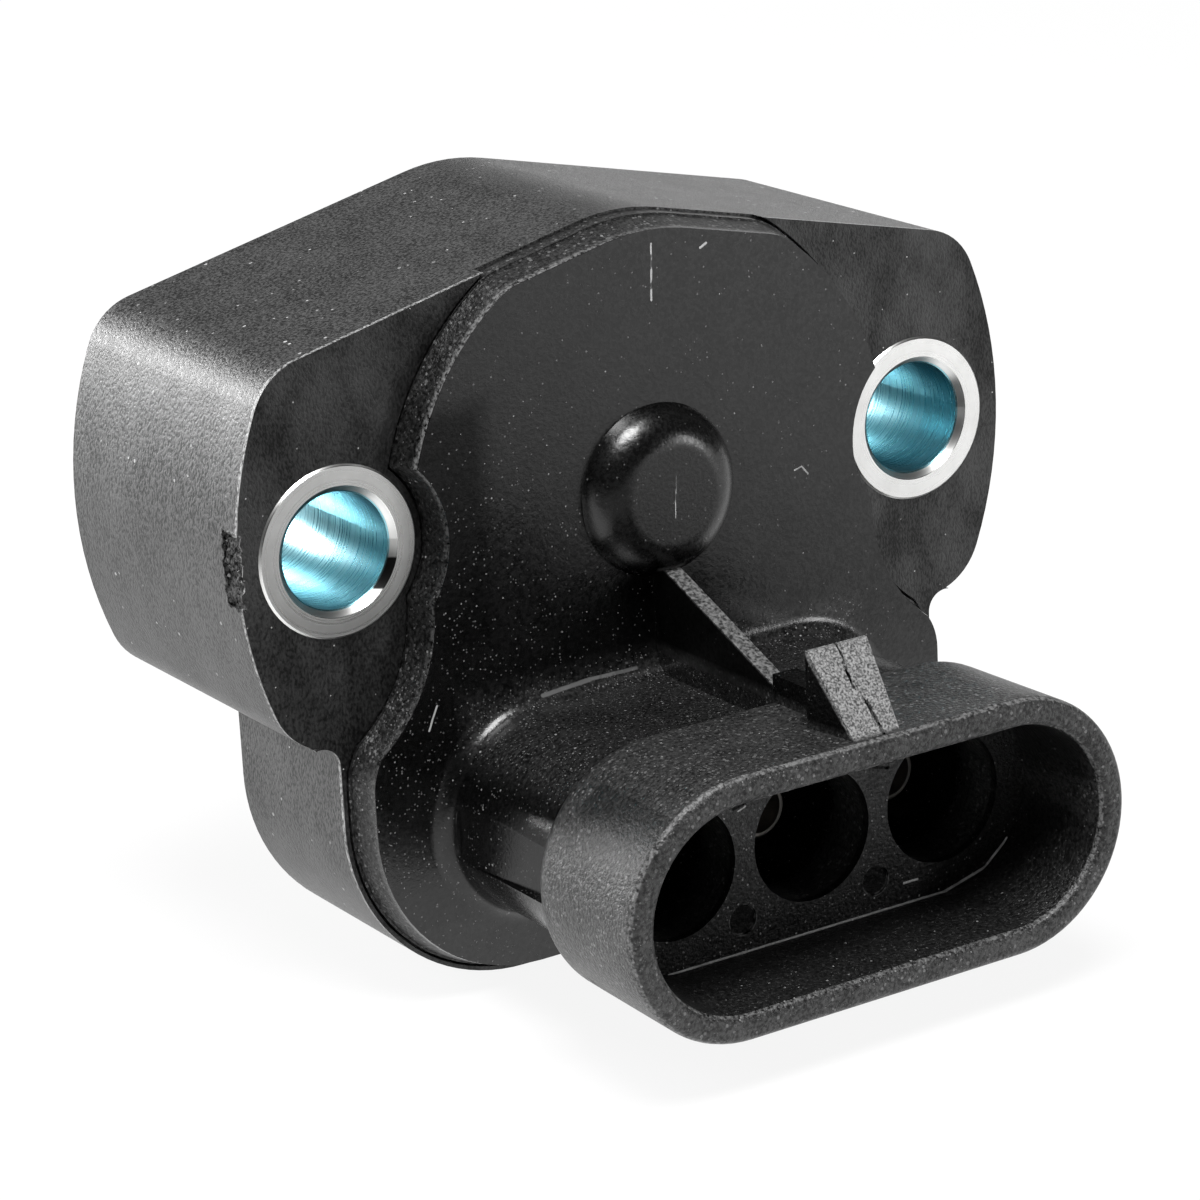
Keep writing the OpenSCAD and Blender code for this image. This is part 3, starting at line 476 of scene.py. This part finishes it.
def cover_zones(tree, where, x, y, z):
    """Masks of the cover's parts whose surfaces differ, and of the web's and latch's sides where shade is
    painted: one on the part, nought away from it.
    """
    edge = remap(tree, y, (FACE_Y + 0.12) * MM, (FACE_Y + 0.3) * MM, 0.0, 1.0, (-1800, 700))
    shroud = remap(tree, y, (NECK_END_Y + 0.3) * MM, (NECK_END_Y - 1.2) * MM, 0.0, 1.0, (-1800, 500))
    inside = box_mask(tree, (-1800, -1500), where, (0, -31.5, PORT_Z), (12.0, 2.95, 4.95), 0.05)
    # Painted shade: the web's and latch's sides, with a soft edge like a shadow's.
    sides = box_mask(tree, (-1800, -2550), where, (0, -26.5, -5.1), (2.2, 8.6, 2.0), 0.4)
    ramp = box_mask(tree, (-1800, -300), where, (0, -32.6, -5.5), (1.9, 1.6, 1.85), 0.15)
    ramp_skin = above_plane(tree, where, RAMP_UP, RAMP_TOP, (-1800, -450))
    ramp = maths(tree, "MULTIPLY", ramp, ramp_skin, (-1600, -300))
    web = box_mask(tree, (-1800, -600), where, (0, -22.4, -5.6), (0.6, 4.5, 2.0), 0.25)
    web_skin = above_plane(tree, where, WEB_UP, WEB_TOP, (-1800, -750))
    strip = maths(tree, "MULTIPLY", web, web_skin, (-1600, -700))
    # The tops that are painted as lit are taken out of the sides' painted shade.
    lit_tops = maths(tree, "ADD", strip, ramp, (-1600, -2700))
    sides = maths(tree, "SUBTRACT", sides, lit_tops, (-1400, -2550), clamp=True)
    neck = box_mask(tree, (-1800, -900), where, (0, -22.0, -9.6), (10.5, 4.3, 1.6), 1.0)
    neck_side = box_mask(tree, (-1800, -2400), where, (-12.0, -22.2, -13.0), (2.5, 3.9, 4.5), 0.8)
    arc = box_mask(tree, (-1800, -3900), where, (-12.3, -16.8, 0.3), (2.6, 1.5, 5.0), 1.2)
    off_centre = flat_radius(tree, where, (0.0, 0.0), (-1400, -4200))[0]
    boss = remap(tree, off_centre, 4.6 * MM, 5.0 * MM, 1.0, 0.0, (-1200, -4200))
    proud = remap(tree, y, (FACE_Y - 0.02) * MM, (FACE_Y - 0.3) * MM, 0.0, 1.0, (-1200, -4400))
    boss = maths(tree, "MULTIPLY", boss, proud, (-1000, -4200))
    floor = remap(tree, y, (FLOOR_Y - 0.25) * MM, (FLOOR_Y - 0.1) * MM, 0.0, 1.0, (-1400, -2700))
    floor = maths(tree, "MULTIPLY", floor, inside, (-1200, -2700))
    coarse = maths(tree, "MAXIMUM", edge, shroud, (200, -200))
    coarse = maths(tree, "MAXIMUM", coarse, maths(tree, "MAXIMUM", web, ramp, (200, -400)), (400, -200))
    return SimpleNamespace(edge=edge, shroud=shroud, inside=inside, sides=sides, ramp=ramp, strip=strip,
                           neck=neck, neck_side=neck_side, arc=arc, boss=boss, floor=floor, coarse=coarse)


def cover_edge_highlights(tree, x, y, z):
    """Pale edges painted as highlights on their rounding: the lip round the cover's face, most at the upper
    left where the light falls, and the shroud's rim.
    """
    lip = remap(tree, y, (FACE_Y + 0.02) * MM, (FACE_Y + 0.06) * MM, 0.0, 1.0, (-1800, 1500))
    fading = remap(tree, y, (FACE_Y + 0.1) * MM, (FACE_Y + 0.42) * MM, 1.0, 0.0, (-1800, 1700))
    lip = maths(tree, "MULTIPLY", lip, fading, (-1600, 1600))
    to_upper_left = maths(tree, "SUBTRACT", z, x, (-1800, 1300))
    # The painted highlight on the lip grows towards the upper left, where the light falls.
    high = remap(tree, to_upper_left, 11 * MM, 16 * MM, 0.2, 0.7, (-1600, 1300))
    lip = maths(tree, "MULTIPLY", lip, high, (-1400, 1400))
    rim = band_mask(tree, y, RIM_Y + 0.16, RIM_Y + 0.32, 0.04, (-1800, 2000))
    return maths(tree, "MAXIMUM", lip, maths(tree, "MULTIPLY", rim, 0.4, (-200, 800)), (0, 800))


def cover_dust(tree, where, x, z, zones):
    """Specks, finer specks and pale grit. Dust lies most at the lower left and on the neck."""
    to_lower_left = maths(tree, "ADD", z, x, (-1800, 900))
    lower_left = remap(tree, to_lower_left, 0.0, -16 * MM, 0.0, 1.0, (-1600, 900))
    dust = maths(tree, "ADD", maths(tree, "MULTIPLY", lower_left, 0.22, (-1400, 800)), 0.05, (-1200, 800))
    on_neck = maths(tree, "MULTIPLY", zones.neck, 0.7, (-1400, 600))
    dust = maths(tree, "MAXIMUM", dust, on_neck, (-1000, 700))
    specks = speck_mask(tree, where, (-800, 700), dust, 0.22, 3600.0)
    tiny = maths(tree, "MULTIPLY", dust, 1.3, (-800, 300))
    fine = speck_mask(tree, where, (-600, 450), tiny, 0.36, 7500.0)
    grit = speck_mask(tree, where, (-600, 150), 0.5, 0.5, 5200.0)
    kept_clean = maths(tree, "MULTIPLY", zones.inside, 0.8, (-400, 0))
    outside = maths(tree, "SUBTRACT", zones.coarse, kept_clean, (-300, 0))
    on_arc = maths(tree, "MULTIPLY", zones.arc, 0.8, (-600, 0))
    # Grit is kept off the sides, where shade is painted, and off the arc beside the left bushing.
    kept_dark = maths(tree, "MAXIMUM", zones.sides, on_arc, (-450, 0))
    outside = maths(tree, "SUBTRACT", outside, kept_dark, (-300, 150), clamp=True)
    return specks, fine, maths(tree, "MULTIPLY", grit, outside, (-150, 150))


def ejector_masks(tree, where, floor, gaps):
    """The two discs in the shroud's floor, and their broken pale outlines."""
    disc, ring = 0.0, 0.0
    for i, centre in enumerate(EJECTORS):
        x, y = -1200, -3000 - 500 * i
        radius = flat_radius(tree, where, centre, (x - 200, y))[0]
        round_mark = remap(tree, radius, 0.7 * MM, 0.82 * MM, 1.0, 0.0, (x, y))
        disc = maths(tree, "MAXIMUM", round_mark, disc, (-900, -2900))
        outline = band_mask(tree, radius, 0.68, 0.74, 0.04, (x, y - 200))
        ring = maths(tree, "MAXIMUM", outline, ring, (-900, -3100))
    disc = maths(tree, "MULTIPLY", disc, floor, (-700, -2900))
    ring = maths(tree, "MULTIPLY", ring, floor, (-700, -3100))
    return disc, maths(tree, "MULTIPLY", ring, gaps, (-500, -3100))


def cover_plastic():
    """Black plastic: satin face, rough leaning edge, grainy connector, dust, scratches and cracks, with
    painted highlights on edges, painted light on the web's and latch's tops and painted shade on their
    sides.
    """
    mat, tree, shader, where = new_material("Cover plastic", (0.01, 0.01, 0.01), 0.3)
    x, y, z = axes(tree, where, (-2100, 300))
    zones = cover_zones(tree, where, x, y, z)
    pale_edge = cover_edge_highlights(tree, x, y, z)
    specks, fine, grit = cover_dust(tree, where, x, z, zones)
    wave, gaps = line_wander(tree, where, (-1600, -1800))
    pale = line_masks(tree, (-800, -1200), where, wave, gaps, SCRATCHES)
    crack = line_masks(tree, (-300, -1200), where, wave, gaps, CRACKS)
    painted_edge_highlight = line_masks(tree, (-300, -4800), where, wave, gaps, NECK_EDGE_HIGHLIGHT)
    disc, ring = ejector_masks(tree, where, zones.floor, gaps)
    disc = maths(tree, "MULTIPLY", disc, 0.8, (-500, -2900))
    dark = maths(tree, "MAXIMUM", crack, disc, (-300, -2900))

    grain = use(tree, GRAIN, (-1800, 0), where, Grain_Scale=5600.0, Cloud_Scale=500.0)
    small = noise(tree, where, 9500.0, 1.0, 0.5, (-1400, -600))
    small = remap(tree, small, 0.36, 0.64, 0.0, 1.0, (-1200, -600))
    tone = maths(tree, "ADD", maths(tree, "MULTIPLY", grain["Grain"], 0.7, (-1400, 100)),
                 maths(tree, "MULTIPLY", grain["Clouds"], 0.3, (-1400, -100)), (-1200, 0))
    pale_neck = maths(tree, "MULTIPLY", zones.neck, tone, (-300, 900))
    layers = [
        (zones.edge, blend(tree, grain["Grain"], 0.001, 0.012, (-900, -100))),
        (zones.shroud, blend(tree, tone, 0.003, 0.03, (-900, -300))),
        (zones.inside, blend(tree, tone, 0.001, 0.006, (-900, -1500))),
        # Painted light: the web's top strip and the latch's ramp are paler where the overhead light falls
        # on them.
        (zones.strip, blend(tree, grain["Grain"], 0.01, 0.13, (-900, -500))),
        (zones.ramp, blend(tree, small, 0.04, 0.25, (-900, -700))),
        (maths(tree, "MULTIPLY", pale_neck, 0.6, (-150, 900)), 0.035),
        # Painted shade on the web's and latch's sides.
        (zones.sides, 0.0008),
        # Painted highlight along the cover's eased edges.
        (maths(tree, "MULTIPLY", pale_edge, grain["Grain"], (0, 600)), 0.25),
        (maths(tree, "MULTIPLY", grit, 0.4, (0, 500)), 0.25),
        (maths(tree, "MULTIPLY", fine, 0.5, (0, 400)), 0.2),
        (specks, 0.24),
        # Painted highlight along the neck's upper edge.
        (painted_edge_highlight, 0.1),
        (pale, 0.38),
        (dark, 0.001),
        (maths(tree, "MULTIPLY", ring, 0.6, (800, 300)), 0.12),
    ]
    colour = blend(tree, tone, 0.001, 0.0035, (-900, 100))
    for i, (mask, paint) in enumerate(layers):
        colour = blend(tree, mask, colour, paint, (-700 + 120 * i, 100))
    feed(tree, colour, shader.inputs["Base Color"])

    smooth = remap(tree, grain["Grain"], 0.0, 1.0, 0.18, 0.26, (200, -600))
    rougher = maths(tree, "MULTIPLY", zones.coarse, 0.26, (400, -500))
    rough_boss = maths(tree, "MULTIPLY", zones.boss, 0.05, (400, -650))
    rougher = maths(tree, "ADD", rougher, rough_boss, (500, -500))
    feed(tree, maths(tree, "ADD", smooth, rougher, (600, -200)), shader.inputs["Roughness"])

    spread = remap(tree, zones.coarse, 0.0, 1.0, 0.1, 0.45, (200, -800))
    swing = maths(tree, "MULTIPLY", maths(tree, "SUBTRACT", tone, 0.5, (0, -900)), spread, (400, -800))
    gloss = maths(tree, "ADD", swing, 0.5, (600, -800))
    dulled = maths(tree, "MAXIMUM", zones.neck_side, zones.arc, (400, -1000))
    duller = remap(tree, dulled, 0.0, 1.0, 1.0, 0.42, (600, -1000))
    gloss = maths(tree, "MULTIPLY", gloss, duller, (800, -900))
    deeper = remap(tree, z, -18.5 * MM, -11.5 * MM, 0.7, 0.0, (-1200, -2500))
    shaded = maths(tree, "MULTIPLY", zones.floor, deeper, (-900, -2500))
    dark_sides = maths(tree, "MULTIPLY", zones.sides, 0.8, (-700, -2500))
    shaded = maths(tree, "MAXIMUM", shaded, dark_sides, (-500, -2500))
    shaded = maths(tree, "MAXIMUM", dark, shaded, (600, -1100))
    shining = maths(tree, "SUBTRACT", 1.0, shaded, (800, -1100), clamp=True)
    feed(tree, maths(tree, "MULTIPLY", gloss, shining, (1000, -900)), shader.inputs["Specular IOR Level"])

    lift = maths(tree, "MAXIMUM", zones.edge, zones.shroud, (400, -400))
    lift = remap(tree, lift, 0.0, 1.0, 0.12, 1.0, (600, -400))
    bump(tree, shader, maths(tree, "MULTIPLY", grain["Height"], lift, (800, -400)), 0.9, 0.025)
    return mat


def plain_finish(name, colour, rough, metallic, grain_scale, depth):
    mat, tree, shader, where = new_material(name, colour, rough, metallic)
    grain = use(tree, GRAIN, (-1400, 0), where, Grain_Scale=grain_scale)
    darker = tuple(c * 0.8 for c in colour)
    tone = blend(tree, grain["Clouds"], (*darker, 1.0), (*colour, 1.0), (-300, 200))
    feed(tree, tone, shader.inputs["Base Color"])
    spread = remap(tree, grain["Grain"], 0.0, 1.0, rough * 0.85, min(rough * 1.2, 1.0), (0, -100))
    feed(tree, spread, shader.inputs["Roughness"])
    bump(tree, shader, grain["Height"], 0.3, depth)
    return mat


def printed_board(name):
    """Green resin with a carbon track and a silver collector ring, broken at the bottom."""
    mat, tree, shader, where = new_material(name, (0.05, 0.14, 0.08), 0.5)
    radius, _, z = flat_radius(tree, where, (0.0, 0.0), (-1300, 100))
    above = maths(tree, "GREATER_THAN", z, -3.0 * MM, (-1100, 400))
    carbon = band_mask(tree, radius, 8.0, 9.1, 0.04, (-1100, 200))
    carbon = maths(tree, "MULTIPLY", carbon, above, (-700, 200))
    silver = band_mask(tree, radius, 5.9, 6.9, 0.04, (-1100, -300))
    cloud = noise(tree, where, 3000.0, 2.0, 0.5, (-1100, -600))
    colour = blend(tree, cloud, (0.03, 0.1, 0.05, 1.0), (0.06, 0.16, 0.09, 1.0), (-500, 100))
    colour = blend(tree, carbon, colour, 0.006, (-300, 100))
    colour = blend(tree, silver, colour, 0.42, (-100, 100))
    feed(tree, colour, shader.inputs["Base Color"])
    feed(tree, maths(tree, "MULTIPLY", silver, 0.8, (-100, -200)), shader.inputs["Metallic"])
    bump(tree, shader, cloud, 0.2, 0.005)
    return mat


def zinc_bushing(name, side):
    """Turned zinc-plated steel, with a blue-green tint and drawn lines down the bore."""
    mat, tree, shader, where = new_material(name, (0.75, 0.76, 0.76), 0.24, 1.0)
    radius, y, _ = flat_radius(tree, where, (side * HOLE_X, 0.0), (-1300, 100))
    in_bore = maths(tree, "LESS_THAN", radius, (BORE_R + 0.06) * MM, (-1300, 100))
    ring_place = node(tree, "ShaderNodeCombineXYZ", (-1300, -200))
    feed(tree, radius, ring_place.inputs["X"])
    feed(tree, maths(tree, "MULTIPLY", y, in_bore, (-1500, -200)), ring_place.inputs["Y"])
    rings = noise(tree, ring_place.outputs[0], 9000.0, 2.0, 0.6, (-1000, -200))
    cloud = noise(tree, where, 500.0, 3.0, 0.6, (-1000, -400))
    face = blend(tree, cloud, (0.55, 0.55, 0.54, 1.0), (0.82, 0.82, 0.81, 1.0), (-600, 200))
    tint = blend(tree, rings, (0.15, 0.38, 0.44, 1.0), (0.36, 0.57, 0.62, 1.0), (-600, 0))
    colour = blend(tree, in_bore, face, tint, (-300, 100))
    if side < 0:
        # A dark patch painted over part of the bore's chamfer.
        dark_patch = box_mask(tree, (-1300, -900), where, (-13.6, -15.95, -1.5), (0.6, 0.35, 0.62), 0.08)
        bevel = band_mask(tree, radius, BORE_R + 0.05, BORE_R + 0.33, 0.03, (-1300, -1200))
        dark_patch = maths(tree, "MULTIPLY", dark_patch, bevel, (-900, -900))
        colour = blend(tree, dark_patch, colour, (0.03, 0.03, 0.03, 1.0), (-150, 100))
    feed(tree, colour, shader.inputs["Base Color"])
    rough = remap(tree, rings, 0.3, 0.7, 0.22, 0.36, (-300, -100))
    feed(tree, rough, shader.inputs["Roughness"])
    bump(tree, shader, rings, 0.14, 0.01)
    return mat


HOUSING_PLASTIC = housing_plastic()
COVER_PLASTIC = cover_plastic()
TIN = plain_finish("Tinned pins", (0.45, 0.43, 0.4), 0.4, 1.0, 5000.0, 0.004)
BRASS = plain_finish("Eyelet brass", (0.78, 0.58, 0.28), 0.35, 1.0, 5000.0, 0.004)
FINISHES = {
    "housing": HOUSING_PLASTIC,
    "cover": COVER_PLASTIC,
    "bushing_left": zinc_bushing("Zinc bushing left", -1),
    "bushing_right": zinc_bushing("Zinc bushing right", 1),
    "resistor_board": printed_board("Printed board"),
    "rotor": plain_finish("Rotor plastic", (0.75, 0.72, 0.64), 0.45, 0.0, 3000.0, 0.006),
    "wiper": plain_finish("Wiper bronze", (0.8, 0.52, 0.22), 0.3, 1.0, 5000.0, 0.003),
    "thrust_washer": plain_finish("Washer steel", (0.6, 0.6, 0.61), 0.3, 1.0, 5000.0, 0.003),
    "return_spring": plain_finish("Spring wire", (0.45, 0.45, 0.46), 0.32, 1.0, 6000.0, 0.003),
    "rotor_seal": plain_finish("Seal rubber", (0.02, 0.02, 0.02), 0.6, 0.0, 4000.0, 0.006),
}
for place in ("left", "middle", "right"):
    FINISHES["terminal_" + place] = TIN
    FINISHES["eyelet_" + place] = BRASS

for name, finish in FINISHES.items():
    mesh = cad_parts[name].data
    mesh.materials.clear()
    mesh.materials.append(finish)


# Dressed mouldings: copies of the plain solids with their sharp edges eased


def only(piece):
    bpy.ops.object.select_all(action="DESELECT")
    piece.select_set(True)
    bpy.context.view_layer.objects.active = piece


def eased_copy(cad_name, name, width, finish):
    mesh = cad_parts[cad_name].data.copy()
    piece = bpy.data.objects.new(name, mesh)
    scene.collection.objects.link(piece)
    only(piece)
    bpy.ops.object.mode_set(mode="EDIT")
    bpy.ops.mesh.select_all(action="SELECT")
    bpy.ops.mesh.remove_doubles(threshold=0.002 * MM)
    bpy.ops.mesh.dissolve_limited(angle_limit=math.radians(0.3))
    bpy.ops.mesh.select_all(action="DESELECT")
    bpy.ops.object.mode_set(mode="OBJECT")
    ease = piece.modifiers.new("Eased edges", "BEVEL")
    ease.width = width * MM
    ease.segments = 3
    ease.limit_method = "ANGLE"
    ease.angle_limit = math.radians(38)
    ease.use_clamp_overlap = True
    bpy.ops.object.modifier_apply(modifier=ease.name)
    mesh.materials.clear()
    mesh.materials.append(finish)
    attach(piece, "body")
    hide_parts(cad_name)
    return piece


def finish_shading(piece, angle):
    only(piece)
    bpy.ops.object.shade_smooth_by_angle(angle=math.radians(angle))
    flat = piece.modifiers.new("Flat faces kept flat", "WEIGHTED_NORMAL")
    flat.mode = "FACE_AREA"
    flat.weight = 100
    flat.keep_sharp = True
    bpy.ops.object.modifier_apply(modifier=flat.name)


def ragged_block(centre, size, cuts, wander, seed):
    """A lumpy block that a boolean takes out of a moulding."""
    bpy.ops.object.select_all(action="DESELECT")
    bpy.ops.mesh.primitive_cube_add(size=1.0, location=(0, 0, 0))
    block = bpy.context.object
    bpy.ops.object.mode_set(mode="EDIT")
    bpy.ops.mesh.select_all(action="SELECT")
    bpy.ops.transform.resize(value=millimetres(size), center_override=(0, 0, 0))
    bpy.ops.transform.translate(value=millimetres(centre))
    bpy.ops.mesh.subdivide(number_cuts=cuts)
    bpy.ops.transform.vertex_random(offset=wander * MM, uniform=1.0, seed=seed)
    bpy.ops.object.mode_set(mode="OBJECT")
    return block


def take_out(piece, block):
    only(piece)
    cut = piece.modifiers.new("Broken away", "BOOLEAN")
    cut.operation = "DIFFERENCE"
    cut.solver = "MANIFOLD"
    cut.object = block
    bpy.ops.object.modifier_apply(modifier=cut.name)
    bpy.data.objects.remove(block)


housing_piece = eased_copy("housing", "housing_moulding", 0.2, HOUSING_PLASTIC)
cover_piece = eased_copy("cover", "cover_moulding", 0.14, COVER_PLASTIC)
for cut in EAR_CUTS:
    take_out(housing_piece, ragged_block(*cut))
for cut in LATCH_CUTS:
    take_out(cover_piece, ragged_block(*cut))
finish_shading(housing_piece, 32)
finish_shading(cover_piece, 32)


# Floor, lamps and camera


def add_floor():
    bpy.ops.object.select_all(action="DESELECT")
    bpy.ops.mesh.primitive_plane_add(size=4.0, location=(0, 0, cad_low.z - 0.0002))
    floor = bpy.context.object
    floor.name = "studio_floor"
    mat = bpy.data.materials.new("Pale floor")
    mat.use_nodes = True
    tree = mat.node_tree
    tree.nodes.clear()
    out = node(tree, "ShaderNodeOutputMaterial", (600, 0))
    path = node(tree, "ShaderNodeLightPath", (-600, 200))
    seen = maths(tree, "MAXIMUM", path.outputs["Is Camera Ray"], path.outputs["Is Glossy Ray"], (-400, 200))
    seen = maths(tree, "MAXIMUM", seen, path.outputs["Is Transmission Ray"], (-200, 300))
    soft = node(tree, "ShaderNodeBsdfDiffuse", (-200, -100))
    soft.inputs["Color"].default_value = (0.8, 0.8, 0.8, 1)
    glow = node(tree, "ShaderNodeEmission", (-200, 100))
    coords = node(tree, "ShaderNodeTexCoord", (-1200, -200))
    x, y, _ = axes(tree, coords.outputs["Object"], (-1000, -200))
    # For reflections the floor glows unevenly: dimmer in front of the object and to its left, a painted
    # shadow, and brighter than white to the right and behind, painted light.
    in_front = remap(tree, x, 0.026, 0.056, 0.32, 1.15, (-800, -200), smooth=True)
    in_back = remap(tree, y, -0.06, -0.03, 0.32, 1.5, (-800, -450), smooth=True)
    mirrored = maths(tree, "MAXIMUM", in_front, in_back, (-600, -300))
    level = blend(tree, path.outputs["Is Camera Ray"], mirrored, 1.0, (-400, -100))
    feed(tree, level, glow.inputs["Strength"])
    mix = node(tree, "ShaderNodeMixShader", (300, 0))
    feed(tree, maths(tree, "MULTIPLY", seen, 0.9, (0, 300)), mix.inputs[0])
    feed(tree, soft.outputs[0], mix.inputs[1])
    feed(tree, glow.outputs[0], mix.inputs[2])
    feed(tree, mix.outputs[0], out.inputs["Surface"])
    floor.data.materials.append(mat)


def add_world():
    """White to the camera, white behind the object in reflections, and a plain grey fill."""
    world = bpy.data.worlds.new("Studio")
    scene.world = world
    world.use_nodes = True
    tree = world.node_tree
    tree.nodes.clear()
    out = node(tree, "ShaderNodeOutputWorld", (900, 0))
    path = node(tree, "ShaderNodeLightPath", (-600, 300))
    coords = node(tree, "ShaderNodeTexCoord", (-900, -300))
    x, y, _ = axes(tree, coords.outputs["Generated"], (-700, -300))
    behind = remap(tree, y, -0.05, 0.4, 0.06, 1.0, (-500, -300), smooth=True)
    left = remap(tree, x, -0.35, 0.15, 1.0, 0.2, (-500, -500), smooth=True)
    right = remap(tree, x, 0.35, 0.65, 0.2, 1.0, (-500, -750), smooth=True)
    sides = maths(tree, "MAXIMUM", left, right, (-300, -600))
    glossy = node(tree, "ShaderNodeBackground", (0, -300))
    feed(tree, maths(tree, "MULTIPLY", behind, sides, (-200, -300)), glossy.inputs["Strength"])
    white = node(tree, "ShaderNodeBackground", (0, 100))
    fill = node(tree, "ShaderNodeBackground", (0, -100))
    fill.inputs["Strength"].default_value = FILL
    first = node(tree, "ShaderNodeMixShader", (300, -100))
    feed(tree, path.outputs["Is Glossy Ray"], first.inputs[0])
    feed(tree, fill.outputs[0], first.inputs[1])
    feed(tree, glossy.outputs[0], first.inputs[2])
    mix = node(tree, "ShaderNodeMixShader", (600, 0))
    feed(tree, path.outputs["Is Camera Ray"], mix.inputs[0])
    feed(tree, first.outputs[0], mix.inputs[1])
    feed(tree, white.outputs[0], mix.inputs[2])
    feed(tree, mix.outputs[0], out.inputs["Surface"])


def add_lamp(name, place, size, power, aim=(0, -0.018, -0.004)):
    data = bpy.data.lights.new(name, "AREA")
    data.shape = "RECTANGLE"
    data.size, data.size_y = size
    data.energy = power
    lamp = bpy.data.objects.new(name, data)
    scene.collection.objects.link(lamp)
    lamp.location = place
    lamp.rotation_euler = (Vector(aim) - Vector(place)).to_track_quat("-Z", "Y").to_euler()
    return lamp


def add_camera():
    data = bpy.data.cameras.new("Camera")
    data.sensor_fit = "HORIZONTAL"
    data.sensor_width = 36.0
    data.lens = 127.37
    data.clip_start = 0.01
    data.clip_end = 10.0
    camera = bpy.data.objects.new("Camera", data)
    scene.collection.objects.link(camera)
    camera.location = millimetres((-102.412, -174.108, 55.291))
    camera.rotation_euler = [math.radians(a) for a in (72.05697, 2.75855, -33.20941)]
    scene.camera = camera


add_floor()
add_world()
for lamp in LAMPS:
    add_lamp(*lamp)
add_camera()
scene.view_settings.view_transform = "Standard"
scene.cycles.caustics_reflective = False
scene.cycles.max_bounces = 6
